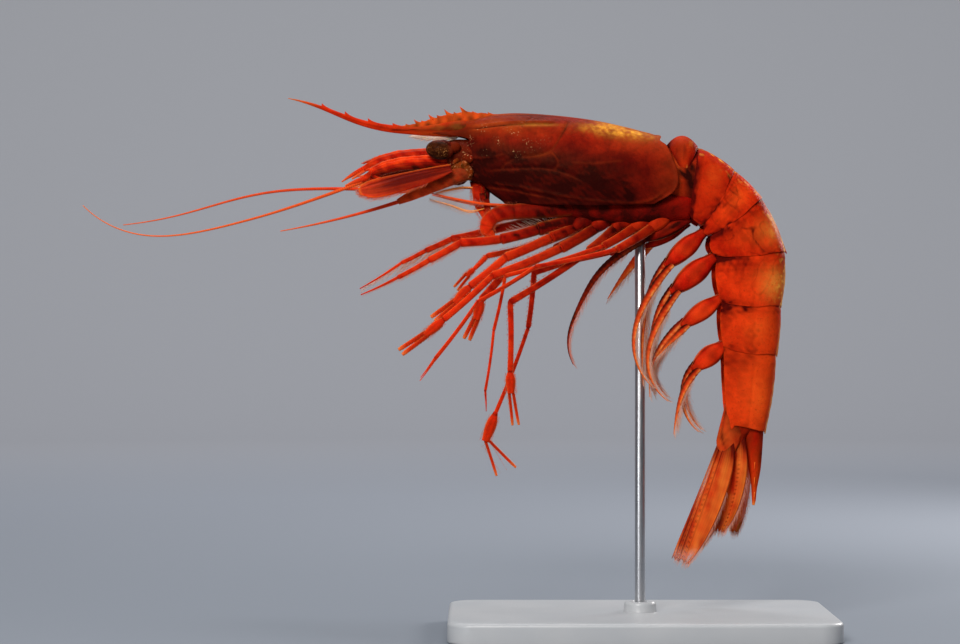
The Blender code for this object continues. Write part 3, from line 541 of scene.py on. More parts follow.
def bristles(roots, directions, lengths, half, uvs, droop, bend=0.25, pale=0.0, seed=1):
    rings = len(bristleSizes)
    draw = np.random.default_rng(seed)
    count = len(roots)
    lengths = np.broadcast_to(lengths, count) * draw.uniform(0.75, 1.15, count)
    lean = unit(unit(directions) + draw.normal(0, 0.10, (count, 3)))
    curl = droop * bend + draw.normal(0, 0.05, (count, 3))
    side = unit(np.cross(lean, [0.31, 0.83, 0.47]))
    up = np.cross(lean, side)
    shares = np.linspace(0, 1, rings)
    path = (roots[:, None] + lean[:, None] * (lengths[:, None] * shares)[..., None]
            + curl[:, None] * (lengths[:, None] * shares ** 2)[..., None])
    thick = half * np.array(bristleSizes)
    angle = ringAngles(3, 0)
    around = side[:, None] * np.cos(angle)[:, None] + up[:, None] * np.sin(angle)[:, None]
    points = path[:, :, None] + around[:, None] * thick[None, :, None, None]
    base = (np.arange(count) * rings * 3)[:, None, None]
    ring = (np.arange(rings - 1) * 3)[:, None]
    near = np.arange(3)
    far = (near + 1) % 3
    quads = np.stack(np.broadcast_arrays(ring + near, ring + far, ring + far + 3, ring + near + 3), -1)
    quads = (quads[None] + base[..., None]).reshape(-1, 4)
    patch = np.zeros((rings - 1, 3, 4, 2))
    for k in range(3):
        patch[:, k, :, 0] = np.array([k, k + 1, k + 1, k]) / 3
    patch[..., 1] = (np.arange(rings - 1)[:, None, None] + np.array([0, 0, 1, 1])) / (rings - 1)
    uvs = np.repeat(uvs[:, None, :], (rings - 1) * 3 * 4, axis=1).reshape(-1, 4, 2)
    ends = np.array([[0, 2, 1], [rings * 3 - 3, rings * 3 - 2, rings * 3 - 1]])
    tris = (ends[None] + base).reshape(-1, 3)
    triUvs = uvs.reshape(count, -1, 2)[:, :6].reshape(-1, 3, 2)
    triPatch = np.tile(np.array([[0, 0], [1, 0], [0.5, 0.1]]), (len(tris), 1, 1))
    tint = tinted((count, rings, 3), glow=shares[None, :, None], pale=pale)
    return dict(points=points.reshape(-1, 3), tint=tint.reshape(-1, 4), quads=quads, quadUvs=uvs,
                quadPatch=np.tile(patch.reshape(-1, 4, 2), (count, 1, 1)) * bakePatch,
                tris=tris, triUvs=triUvs, triPatch=triPatch * bakePatch)


coat = []


def fringe(path, out, count, length, half, start=0.0, end=1.0, forward=0.5, taper=0.6, seed=1, **more):
    # bristles along a line, kept in the coat: out gives their direction at each of its points,
    # and forward leans them to its tip
    draw = np.random.default_rng(seed + 100)
    jitter = draw.normal(0, 0.3 * (end - start) / count, count)
    shares = np.clip(np.linspace(start, end, count) + jitter, 0, 1)
    place = shares * (len(path) - 1)
    k = np.minimum(place.astype(int), len(path) - 2)
    t = (place - k)[:, None]
    roots = path[k] * (1 - t) + path[k + 1] * t
    outward = out[k] * (1 - t) + out[k + 1] * t
    tangent = unit(np.gradient(path, axis=0))[k]
    along = (shares - start) / (end - start)
    lengths = length * (1 - taper * np.abs(2 * along - 0.8) ** 2).clip(0.25)
    uvs = np.stack([0.05 + 0.9 * shares, np.full(count, 0.25 + 0.5 * draw.random())], -1)
    coat.append(bristles(roots, outward + tangent * forward, lengths, half, uvs, tangent, seed=seed, **more))


# limbs: each article swells between its joints and ends in a flared rim over a dark membrane

# an article's size at places along it, with its flared rim near the end
articleSizes = [0.9, 0.94, 0.96, 0.97, 0.97, 0.96, 0.95, 0.95, 0.95, 0.97, 0.99, 0.99, 0.96, 0.88]
articlePlaces = [0.0, 0.03, 0.08, 0.16, 0.28, 0.4, 0.5, 0.6, 0.72, 0.84, 0.93, 0.975, 0.992, 1.0]


def articlePart(start, end, half, endHalf, flat, sides, dark, after, glow):
    shares = np.concatenate([np.linspace(0, 0.12, 7), np.linspace(0.12, 0.86, 15)[1:-1],
                             np.linspace(0.86, 1, 10)])
    length = np.linalg.norm(end - start)
    axis = (end - start) / length
    _, up = crossAxes(axis)
    bow = up * (0.012 * length * np.sin(np.pi * shares))[:, None]
    size = np.interp(shares, articlePlaces, articleSizes) * (half + (endHalf - half) * shares)
    grid = tubeGrid(start + axis * (shares * length)[:, None] + bow, size * flat, size, sides)
    angle = ringAngles(sides)
    joint = (bell(shares, 0.0, 0.03) + bell(shares, 1.0, 0.014))[:, None]
    mottle, speck = wavesOn(grid, 0.9, 7), wavesOn(grid, 0.35, 77)
    # painted light: the upper and lower edges, as seen from the side, are lit orange and pale as painted rim
    # highlights, and a band along the middle of each side is darkened as painted shade
    rim = np.abs(np.sin(angle)) ** 10
    lit = glow + 0.5 * np.abs(np.sin(angle)) ** 6 * (0.7 + 0.3 * np.sin(9 * shares + angle[0]))[:, None]
    lit = lit + 0.2 * mottle + 0.35 * rim
    shade = np.clip(spread([dark, after], shares)[:, None] + 0.2 * joint, 0, 1) + 0.3 * np.clip(-mottle, 0, 1)
    shade = shade + 0.3 * bell(np.sin(angle), -0.15, 0.4) * (0.6 + 0.5 * speck)
    return tintedPart(grid, shade, lit * (1 - 0.5 * joint.clip(0, 1)), 0.34 * rim * (0.7 + 0.5 * speck), 0.3)


def jointPart(centre, half, flat):
    turn = np.linspace(0.02, np.pi - 0.02, 11)
    path = np.array(centre) + np.outer(-np.cos(turn) * half, [0, 0, 1.0])
    angle = ringAngles(14, 0)
    ring = np.stack([np.cos(angle), np.sin(angle) * flat, 0 * angle], -1)
    return tintedPart(path[:, None] + ring[None] * (np.sin(turn) * half)[:, None, None], 0.3, 0.1)


def limbParts(root, hand, articles, flat=0.85, sides=18, dark=(), glow=(), tip=True):
    # dark and glow have a value for each article; a tip narrows to a point
    joints = chain(root, hand, articles)
    halves = [article[3] for article in articles]
    parts = []
    for k, half in enumerate(halves):
        if k < len(halves) - 1:
            endHalf = 0.45 * half + 0.55 * min(half, halves[k + 1] * 1.15)
        else:
            endHalf = half * (0.35 if tip else 1)
        shade = [*dark[k:k + 2], 0.0, 0.0]
        parts.append(articlePart(joints[k], joints[k + 1], half, endHalf, flat, sides, shade[0], shade[1],
                                 glow[k] if k < len(glow) else 0.0))
        if k:
            parts.append(jointPart(joints[k], 0.86 * min(half, halves[k - 1]), flat))
    return parts, joints


def bentPart(points, halves, flat=0.85, sides=24, rows=60, dark=(0.0,), glow=(0.2,), joints=(), pale=0.0,
             rough=0.0):
    # one smooth stalk through its points, with narrow folds at its joints
    shares = np.linspace(0, 1, rows)
    path = throughPoints(points, shares)
    folds = sum((bell(shares, place, 0.012) for place in joints), 0 * shares)
    size = throughPoints(halves, shares) * (1 - 0.06 * folds)
    grid = tubeGrid(path, size * flat, size, sides)
    lumps = 0.0
    if rough:
        lumps = wavesOn(grid, 0.6, 19) + 0.6 * wavesOn(grid, 0.25, 20)
        grid = grid + unit(grid - path[:, None]) * (rough * lumps * (size > 0.2)[:, None])[..., None]
    mottle = wavesOn(grid, 0.9, 7)
    # painted light: the upper and lower edges, as seen from the side, are lit and paled as painted rim
    # highlights
    upright = np.abs(np.sin(ringAngles(sides)))
    rim = upright ** 10
    shade = (spread(dark, shares) + 0.2 * folds)[:, None] + 0.3 * np.clip(-mottle, 0, 1) - 0.08 * lumps
    lit = spread(glow, shares)[:, None] + 0.3 * upright ** 6 + 0.25 * lumps + 0.22 * mottle + 0.3 * rim
    return tintedPart(grid, shade, lit, pale + (0.15 * rim)[None], 0.3), path


def limbEdge(joints, halves, which):
    # the line along a limb's upper (1) or lower (-1) edge, with its outward directions
    path, out = [], []
    for first, last, half in zip(joints, joints[1:], halves):
        up = crossAxes(unit(last - first))[1]
        up = up * (np.sign(up[2]) or 1) * which
        for share in np.linspace(0.05, 0.95, 12):
            path.append(first + (last - first) * share + up * half * 0.85)
            out.append(up)
    return np.array(path), np.array(out)


# carapace: one shell from rim to rim, with grooves, ridges, spines and a bead along its edge

dorsalEdge = [(-43.7, 121.9), (-33.6, 123.9), (-21.6, 123.8), (-9.6, 122.4), (4.8, 119.0)]
frontEdge = [(-43.7, 121.9), (-43.2, 117.0), (-42.2, 112.0), (-37.6, 107.0), (-31.9, 102.6)]
rearEdge = [(4.8, 119.0), (7.1, 114.0), (8.6, 109.0), (7.6, 105.4), (2.9, 102.4)]
lowerEdge = [(-31.9, 102.6), (-22.0, 102.2), (-9.0, 102.0), (2.9, 102.4)]
carapaceHalves = [4.2, 6.9, 8.6, 9.5, 9.6, 8.7]
flankDegrees = 112
flankTurn = math.radians(flankDegrees)

shellDetail = dict(rows=210, columns=221, thick=0.42, rim=0.1)
grooves = [  # line in the side view, depth, width; a negative depth is a ridge
    ([(-16.8, 123.2), (-18.9, 119.0), (-21.4, 115.3), (-24.6, 114.0), (-29.5, 113.6)], 0.17, 0.5),
    ([(-37.0, 110.6), (-31.0, 110.9), (-24.0, 111.0), (-18.5, 109.9), (-13.5, 107.6)], 0.15, 0.5),
    ([(-21.4, 115.3), (-19.6, 112.6), (-20.6, 110.4)], 0.1, 0.6),
    ([(-29.5, 113.6), (-32.0, 112.2), (-33.4, 110.6)], 0.12, 0.6),
    ([(-25.6, 123.6), (-27.8, 121.8), (-28.6, 120.6)], 0.08, 0.3),
    ([(-38.8, 107.9), (-31.0, 106.8), (-26.4, 105.9), (-19.2, 104.3), (-9.6, 103.0), (1.0, 103.0),
      (6.0, 106.2)], -0.2, 0.4),
    ([(-38.6, 107.0), (-31.0, 105.9), (-26.4, 105.0), (-19.2, 103.4)], 0.14, 0.4),
    ([(-40.5, 121.2), (-31.0, 122.1), (-19.5, 122.2)], -0.12, 0.35),
    ([(-40.5, 120.5), (-31.0, 121.4), (-19.5, 121.6)], 0.14, 0.4),
    ([(-41.5, 113.6), (-36.5, 113.6), (-32.0, 114.4)], -0.16, 0.6),
    ([(-17.5, 112.2), (-11.0, 111.9), (-4.0, 112.6)], -0.08, 0.8),
]
spines = [((-43.2, 114.0), 1.7, 0.5), ((-40.4, 109.4), 1.3, 0.45)]  # place, length, width


def carapaceGrid(u, v):
    # u runs from the front edge to the rear edge, v from the left lower edge over the back to the right one
    angle = np.abs(v) * flankTurn
    depth = (1 - np.cos(angle)) / (1 - math.cos(flankTurn))
    width = np.sin(angle) ** 0.8
    u, depth = np.broadcast_arrays(u[:, None], depth[None])
    top, bottom = throughPoints(dorsalEdge, u), throughPoints(lowerEdge, u)
    front, rear = throughPoints(frontEdge, depth), throughPoints(rearEdge, depth)
    corner = [np.array(edge[k]) for edge in (dorsalEdge, lowerEdge) for k in (0, -1)]
    s, d = u[..., None], depth[..., None]
    flat = (top * (1 - d) + bottom * d + front * (1 - s) + rear * s
            - (corner[0] * (1 - s) + corner[1] * s) * (1 - d) - (corner[2] * (1 - s) + corner[3] * s) * d)
    half = throughPoints(carapaceHalves, u)
    return np.stack([flat[..., 0], np.sign(v)[None] * half * width[None], flat[..., 1]], -1)


def buildCarapace():
    rows, columns = shellDetail["rows"], shellDetail["columns"]
    u, v = np.linspace(0, 1, rows), np.linspace(-1, 1, columns)
    fromTop = np.abs(v)[None] * flankDegrees
    grid = carapaceGrid(u, v)
    grid[:, columns // 2, 1] = 0
    x, z = grid[..., 0], grid[..., 2]
    normals = outwardNormals(grid, 2)
    # each groove gets a dark line of painted shade with a light line of painted highlight just beside it, and
    # each ridge a line of painted highlight
    lift, lines, grooveShadeLine, lit = (np.zeros(x.shape) for _ in range(4))
    for points, depth, width in grooves:
        line = nearLine(x, z, points, width)
        lift -= depth * line
        if depth > 0:
            lines = np.maximum(lines, line * min(1, depth * 5))
            grooveShadeLine = np.maximum(grooveShadeLine, nearLine(x, z, points, 0.2))
            lit = np.maximum(lit, 0.5 * nearLine(x + 0.3, z + 0.3, points, 0.25))
        else:
            lit = np.maximum(lit, 0.35 * nearLine(x, z, points, 0.28))
    # the roof runs forward and narrows to carry the rostrum
    roof = (1 - rise(fromTop, 20, 44)) * (np.clip(1 - u / 0.16, 0, 1) ** 1.6)[:, None]
    grid += roof[..., None] * np.stack([-9.5 + 0 * x, -0.72 * grid[..., 1], -0.7 + 0 * x], -1)
    keel = bell(v[None], 0, 0.02) * rise(-x, 12, 30) * (1 - roof)
    lift += 0.45 * keel + 0.1 * bell(v[None], 0, 0.012) * (1 - rise(-x, 12, 30))
    toEdge = np.minimum((1 - np.abs(v))[None] * 22, (1 - u)[:, None] * 50)
    lift += (shellDetail["rim"] * bell(toEdge, 0.25, 0.42) - 0.06 * bell(toEdge, 1.25, 0.5)) * (1 - roof)
    lift += 0.07 * waves(x, grid[..., 1] * 1.5, z, 4.5, 5) + 0.03 * wavesOn(grid, 1.2, 6)
    # gill region bulges behind the neck groove
    lift += 0.35 * blob(x, z, (-7.0, 110.5), (11.0, 5.5))
    grid = grid + normals * lift[..., None]
    # front edge: a hollow over the eye, and the spines below it
    grid[..., 0] += 2.3 * np.exp(-(u * 15.0) ** 2)[:, None] * bell(z, 118.0, 1.5)
    for (_, height), length, width in spines:
        reach = np.exp(-(u * 38.0) ** 2)[:, None] * np.exp(-np.abs((z - height) / width) ** 1.3)
        grid[..., 0] -= length * reach
        grid[..., 1] += np.sign(grid[..., 1]) * 0.35 * reach
    # rear edge: a small notch beside the midline
    grid[..., 0] -= 0.9 * np.exp(-((1 - u) * 40.0) ** 2)[:, None] * bell(z, 117.6, 0.7)
    normals = outwardNormals(grid, 2)
    tint = carapaceTint(grid, v, fromTop, toEdge, lines, grooveShadeLine, lit)
    part = platePart(grid, grid - normals * shellDetail["thick"], tint)
    return makePiece("CarapaceShell", [part], "carapace", ["carapace"])


# dark and lit places on the flank: strength, centre, radii
darkPlaces = [(0.75, (-35.0, 110.0), (8.0, 4.0)), (0.4, (-24.0, 115.8), (8.0, 2.2)),
              (0.55, (-43.0, 119.3), (4.5, 1.6))]
# the lit place below the neck groove is a painted highlight
litPlaces = [(0.35, (-0.5, 117.5), (7.0, 2.6)), (0.4, (-25.0, 114.1), (4.0, 0.9))]


def carapaceTint(grid, v, fromTop, toEdge, lines, grooveShadeLine, lit):
    x, z = grid[..., 0], grid[..., 2]
    patchy, mottle, grain = wavesOn(grid, 3.2, 9), wavesOn(grid, 0.9, 10), wavesOn(grid, 0.45, 13)
    slope = -z - 0.16 * x
    dark = 0.9 * rise(slope + 0.8 * patchy, -116.5, -108.5) * (0.45 + 0.55 * rise(-x, -5.0, 10.0))
    dark = np.maximum(dark, 0.95 * rise(slope, -108.0, -106.8) * rise(-x, -4.0, 4.0))
    # lines adds the grooves' painted shade
    dark = np.maximum(dark, np.maximum(0.7 * rise(-z, -104.0, -102.8), 0.5 * lines))
    for strength, centre, radii in darkPlaces:
        dark = np.maximum(dark, strength * blob(x, z, centre, radii))
    roof = rise(-fromTop, -50, -20) * rise(-x, 14, 28)
    dark = dark + 0.5 * roof * (1 - 0.6 * rise(-x, 28, 34))
    # painted shade in the grooves, eased where their painted highlight lies
    dark = np.maximum(dark, 0.95 * grooveShadeLine) * (1 - 0.35 * lit) * (1 + 0.14 * mottle) + 0.1 * grain
    glow = 0.4 * blob(x, z, (-30.0, 120.6), (12.0, 2.2)) * (0.7 + 0.35 * patchy + 0.3 * mottle)
    glow += 0.55 * bell(v[None], 0, 0.04) * rise(-x, -3, 3) + 0.04 * bell(toEdge, 0.3, 0.4)
    glow += 0.25 * blob(x, z, (-34.0, 116.0), (6.0, 2.0)) * (0.6 + mottle)
    # lit adds the grooves' and ridges' painted highlight
    glow += 0.18 * rise(x, 0.0, 7.5) + 0.5 * lit + (0.35 + 0.2 * mottle) * roof * rise(-x, 20, 32)
    for strength, centre, radii in litPlaces:
        glow += strength * blob(x, z, centre, radii)
    # a golden band beside the back, broken into crumbs
    pale = 1.15 * blob(x, z, (-8.6, 120.2), (4.8, 1.6)) + 0.85 * blob(x, z, (-2.4, 118.9), (4.8, 1.3))
    crumbs, clumps = wavesOn(grid, 0.45, 12), wavesOn(grid, 1.2, 14)
    pale *= 0.3 + 0.35 * rise(crumbs, -0.35, 0.15) + 0.5 * rise(clumps, -0.3, 0.5)
    pale *= rise(-fromTop, -52, -18)
    pale += 0.2 * blob(x, z, (-24.5, 121.3), (5.0, 0.4)) * (0.6 + 0.5 * patchy)
    # pale specks over the front of the shell: painted glints
    specksAndGlints = 0.9 * blob(x, z, (-35.0, 117.5), (9.0, 3.4)) * rise(patchy + mottle, -0.1, 0.7)
    return tinted(x.shape, dark * (1 - 0.85 * pale.clip(0, 1)), glow, pale, specksAndGlints)


buildCarapace()
print("carapace built")


# rostrum: a blade with side ridges, and a thin crest whose teeth point forwards

rostrumFoot = (-37.0, 0.0, 121.3)
rostrumLook = dict(length=48.6, pitches=[184, 183, 171, 158, 169], steps=280)
rostrumHeights = [1.0, 1.95, 1.5, 1.0, 0.9, 0.74, 0.55, 0.36, 0.08]
rostrumWidths = [1.2, 2.3, 1.35, 0.85, 0.68, 0.55, 0.42, 0.3, 0.07]
# teeth are (x, height, length)
bladeTeeth = [(-59.2, 0.55, 3.4), (-65.2, 0.75, 3.0), (-70.8, 0.75, 2.6), (-76.3, 0.65, 2.4)]
crestTeeth = [
    (-36.2, 0.45, 1.8), (-40.0, 0.3, 1.0), (-42.2, 1.35, 1.5), (-44.4, 0.4, 0.8), (-46.0, 1.25, 1.3),
    (-48.4, 0.45, 0.9), (-49.9, 1.15, 1.2), (-52.2, 0.35, 0.8), (-53.5, 1.0, 1.2), (-56.0, 0.3, 0.8)]
crestLine = [(-29.0, 123.8), (-36.0, 124.4), (-42.2, 124.9), (-44.0, 124.5), (-46.0, 124.3), (-48.0, 123.7),
             (-50.0, 123.2), (-52.0, 122.5), (-54.0, 122.0), (-57.0, 121.5), (-60.0, 121.2)]


def toothRow(x, teeth):
    # height of the teeth at x: each rises slowly towards the front and drops steeply
    height = np.zeros(np.shape(x))
    for tip, peak, length in teeth:
        back = (x - tip) / length
        rear, front = np.clip(1 - back, 0, 1), np.clip(1 + back * length / 0.28, 0, 1)
        height = np.maximum(height, peak * np.where(back >= 0, 0.25 * rear + 0.75 * rear ** 4, front))
    return height


def rostrumBlade(path, up, deep, wide, shares):
    tangent, side, _ = framesAlong(path)
    angle = ringAngles(40)
    across, upwards, s = np.cos(angle), np.sin(angle), shares[:, None]
    topmost = np.clip(upwards, 0, 1) ** 6
    teeth = (toothRow(path[:, 0], bladeTeeth) * rise(shares, 0.33, 0.38))[:, None]
    ridge = 0.16 * bell(upwards, 0.05, 0.22) * np.sign(across) * rise(wide, 0.1, 0.8)[:, None]
    grid = path[:, None] + side[:, None] * (softened(across, 1.25) * wide[:, None] + ridge)[..., None]
    grid += up[:, None] * (upwards * deep[:, None] + topmost * teeth)[..., None]
    grid += tangent[:, None] * (topmost * teeth * 0.75)[..., None]
    grain, root = wavesOn(grid, 0.7, 34), bell(s, 0.15, 0.16)
    dark = 0.98 * bell(s, 0.13, 0.19) * bell(upwards, 0.1, 1.0)
    dark = dark + 0.35 * bell(upwards, 0.05, 0.25) * (1 - s * 0.6)
    dark = dark + 0.22 * rise(s, 0.2, 0.4) + 0.12 * grain + 0.3 * np.clip(grain, 0, 1) * root
    glow = 0.3 * topmost + 0.5 * np.clip(-upwards, 0, 1) ** 4 * (1 - s) + 0.05 + 0.35 * bell(s, 0.28, 0.12)
    return tintedPart(grid, dark, glow, 0.25 * rise(s, 0.8, 1.0) + root * (0.06 + 0.09 * grain), 0.5)


def rostrumCrest():
    # from its floor inside the shell up to its toothed edge
    x = np.linspace(-28.6, -61.5, 300)
    xs, heights = np.array(crestLine).T
    fade = (rise(-x, 28.6, 33.0) * (1 - rise(-x, 58.5, 61.5)))[:, None]
    floor = np.interp(-x, [28.6, 36.0, 44.0, 56.0, 61.5], [122.4, 122.4, 121.0, 120.4, 120.4])[:, None]
    top = np.interp(-x, -xs, heights)[:, None] - floor
    levels, halves = np.array([0, 0.3, 0.55, 0.75, 0.9, 1.0]), np.array([1.1, 0.62, 0.4, 0.27, 0.17, 0.06])
    levels, halves = np.concatenate([levels, levels[::-1]]), np.concatenate([halves, -halves[::-1]])
    teeth = toothRow(x, crestTeeth)[:, None] * fade * levels ** 3
    height = floor + top * (0.25 + 0.75 * fade) * levels + teeth
    height = height + 0.1 * waves(x, 0 * x, 0 * x, 0.3, 88)[:, None] * levels ** 2 * fade
    grid = np.stack([x[:, None] - teeth * 0.9, halves * (0.35 + 0.65 * fade), height], -1)
    return tintedPart(grid, 0.8 - 0.35 * levels + 0.4 * wavesOn(grid, 0.8, 17), 0.7, 0.08 * levels[None], 0.7)


def buildRostrum():
    steps = rostrumLook["steps"]
    path = sweep(rostrumFoot, left, rostrumLook["length"], rostrumLook["pitches"], [0], steps)
    shares = np.linspace(0, 1, steps + 1)
    deep, wide = throughPoints(rostrumHeights, shares), throughPoints(rostrumWidths, shares)
    up = -framesAlong(path)[2]
    parts = [rostrumBlade(path, up, deep, wide, shares), rostrumCrest()]
    makePiece("RostrumBlade", parts, "shell", ["rostrum"])
    # a pale fringe below the blade's foot
    low = slice(int(0.13 * steps), int(0.36 * steps))
    fringe((path - up * deep[:, None] * 0.9)[low], -up[low], 310, 2.3, 0.0675, forward=1.6, taper=0.3, seed=9,
           pale=0.8)


buildRostrum()


# head block between the eyes, eyestalks and eyes

headLook = dict(eye=(-48.0, 5.2, 115.35), halves=(3.3, 2.4, 2.3))
eyeKnobs = [  # of the antenna's foot, in front of the shell's edge: centre, halves, turn, glow
    ((-43.0, 4.6, 111.5), (2.2, 1.1, 1.0), 12, 0.35), ((-41.3, 5.0, 110.3), (1.2, 1.1, 1.7), 20, 0.3),
    ((-41.3, 4.7, 113.4), (1.4, 1.0, 1.2), -20, 0.1), ((-43.0, 3.6, 109.0), (2.4, 1.4, 1.3), 24, 0.1),
    ((-44.2, 5.0, 112.6), (1.0, 0.7, 0.6), 40, 0.25), ((-42.2, 5.6, 111.9), (0.8, 0.6, 1.0), -10, 0.35)]


def ellipsoid(centre, halves, rows=40, columns=56, turn=0.0):
    # turned about the Y axis
    polar = np.linspace(0.01, np.pi - 0.01, rows)[:, None]
    angle = ringAngles(columns, 0)
    x, z = np.sin(polar) * np.cos(angle) * halves[0], np.sin(polar) * np.sin(angle) * halves[2]
    c, s = math.cos(math.radians(turn)), math.sin(math.radians(turn))
    return np.stack([centre[0] + x * c - z * s, centre[1] - np.cos(polar) * halves[1] + 0 * x,
                     centre[2] + x * s + z * c], -1)


def sectionGrid(stations, sides=40, squareness=0.85):
    # rings from (x top, z top, x bottom, z bottom, half width), smooth between them
    data = throughPoints(stations, np.linspace(0, 1, 40))
    angle = ringAngles(sides)
    middle, reach = (data[:, 0:2] + data[:, 2:4]) / 2, (data[:, 0:2] - data[:, 2:4]) / 2
    flat = middle[:, None] + reach[:, None] * softened(np.sin(angle), squareness)[:, None]
    return np.stack([flat[..., 0], data[:, 4:5] * softened(np.cos(angle), squareness), flat[..., 1]], -1)


def knobPart(centre, halves, turn, lit):
    knob = ellipsoid(centre, halves, 30, 36, turn)
    mottle, crumbs = wavesOn(knob, 0.7, 15), wavesOn(knob, 0.3, 16)
    knob = knob + unit(knob - np.array(centre)) * (0.2 * mottle + 0.12 * crumbs)[..., None]
    return tintedPart(knob, 0.5 + 0.45 * mottle + 0.3 * crumbs, lit + 0.2 * mottle, 0.12 * lit, 0.5)


def stalkParts(ex, ez, hand):
    # the eye's stalk, and a papilla on its upper side
    shares = np.linspace(0, 1, 26)
    path = throughPoints([(-43.6, hand * 1.8, 116.2), (-44.8, hand * 3.0, 116.0),
                          (ex + 1.6, hand * 4.4, ez + 0.3), (ex + 0.6, hand * 5.0, ez)], shares)
    size = spread([1.0, 1.35, 1.65, 2.25, 2.3], shares)
    rings = 0.4 + 0.3 * np.sin(shares * 26)[:, None]
    bud = ellipsoid((ex + 3.4, hand * 4.6, ez + 0.7), (1.7, 1.5, 1.35), 24, 30)
    return [tintedPart(tubeGrid(path, size, size * 1.02, 28), 0.6 + 0.4 * rings, 0.1 * rings, 0, 0.4),
            tintedPart(bud, 0.6, 0.3)]


def buildHead():
    # the block fills the space behind the eyes
    block = sectionGrid([(-38.0, 118.0, -36.0, 106.5, 4.6), (-43.5, 118.2, -42.4, 108.8, 4.6),
                         (-46.0, 117.8, -45.0, 109.2, 4.0), (-48.2, 116.4, -47.4, 110.2, 2.6)])
    parts = [tintedPart(block, 0.75 + 0.25 * wavesOn(block, 1.2, 3), 0.2, 0.0, 0.3)]
    ex, ey, ez = headLook["eye"]
    for hand in (left, right):
        parts += stalkParts(ex, ez, hand)
        parts += [knobPart((x, hand * y, z), *rest) for (x, y, z), *rest in eyeKnobs]
        eye = ellipsoid((ex, hand * ey, ez), headLook["halves"], turn=-8)
        x, z = eye[..., 0], eye[..., 2]
        near = 0.8 * rise(x, ex + 1.6, ex + 3.2) + 0.4 * rise(z, ez + 1.6, ez + 2.3)
        gold = blob(x, z, (ex + 0.9, ez - 0.8), (1.7, 0.9))
        gold = gold + 0.5 * blob(x, z, (ex - 2.6, ez + 0.4), (0.8, 1.2))
        sidePiece("Eye", hand, [tintedPart(eye, 0, near, gold)], "eye")
    makePiece("HeadBlock", parts, "carapace", ["head"])


buildHead()
print("rostrum, head and eyes built")


# antennules, antennae and their scales

antennules = {
    left: dict(points=[(-44.0, 1.9, 112.4), (-50.0, 2.0, 112.5), (-56.2, 2.0, 112.3), (-61.0, 2.0, 111.3),
                       (-64.0, 2.0, 109.9), (-66.5, 2.1, 108.4)], halves=[1.7, 1.85, 1.6, 1.5, 1.2, 0.95]),
    right: dict(points=[(-44.0, 1.9, 114.2), (-50.0, 2.0, 114.4), (-56.5, 2.0, 114.2), (-61.8, 2.0, 113.1),
                        (-64.4, 2.1, 112.1), (-66.2, 2.2, 111.4)], halves=[1.6, 1.9, 1.75, 1.5, 1.25, 1.0]),
}
shortFlagella = {left: (5.4, [196, 204]), right: (7.4, [203, 216])}
longAntennule = dict(length=70.1, pitches=[201, 197, 185, 135], leans=[3, 6, 4, 0])
antennae = {
    left: dict(points=[(-41.0, 4.2, 110.2), (-45.0, 5.0, 108.8), (-49.4, 5.5, 106.9), (-53.8, 5.4, 104.9),
                       (-57.9, 5.1, 103.0)], halves=[1.9, 1.85, 1.6, 1.3, 0.75]),
    right: dict(points=[(-41.0, 4.2, 110.8), (-45.0, 5.0, 109.9), (-49.4, 5.5, 108.6), (-53.8, 5.5, 107.3),
                        (-58.1, 5.3, 106.1)], halves=[1.9, 1.85, 1.6, 1.3, 0.75]),
}
antennaFlagella = {
    left: dict(length=29.2, pitches=[198, 190], leans=[-2, 2]),
    right: dict(length=68.6, pitches=[176, 182, 196, 186], leans=[2, 5, 4, 2]),
}
antennuleStrands = [  # a bundle, with painted light on the upper strands and painted shade on the lower ones: lift, outwards, size, dark, glow
    (0.0, 0.0, 0.8, 0.25, 0.15), (0.85, 0.3, 0.5, 0.05, 0.4), (-0.8, 0.5, 0.5, 0.75, 0.0),
    (0.35, 0.9, 0.42, 0.1, 0.3), (-0.3, 1.0, 0.4, 0.5, 0.1)]


def feelerPart(start, hand, length, pitches, leans, halves, rings, glow):
    # a long feeler of very short articles
    steps = rings * 4
    path = sweep(start, hand, length, pitches, leans, steps)
    shares, beat = np.linspace(0, 1, steps + 1), np.arange(steps + 1) % 4
    size = spread(halves, shares) * np.array([0.86, 1.0, 1.04, 1.0])[beat]
    grid = tubeGrid(path, size, size, 10)
    return tintedPart(grid, 0.4 * (beat == 0), glow + 0.25 * shares, 0.2 * shares ** 2)


def coatLimb(joints, halves, count, length, half, which=(1, -1), seed=1, forward=0.7, **more):
    # a fringe of bristles along a limb's edges
    for k, edge in enumerate(which):
        path, out = limbEdge(joints, halves, edge)
        fringe(path, out, count, length, half, forward=forward, seed=seed + k, **more)


def mirrored(points, hand, lift=0.0):
    return [(x, hand * y, z + lift) for x, y, z in points]


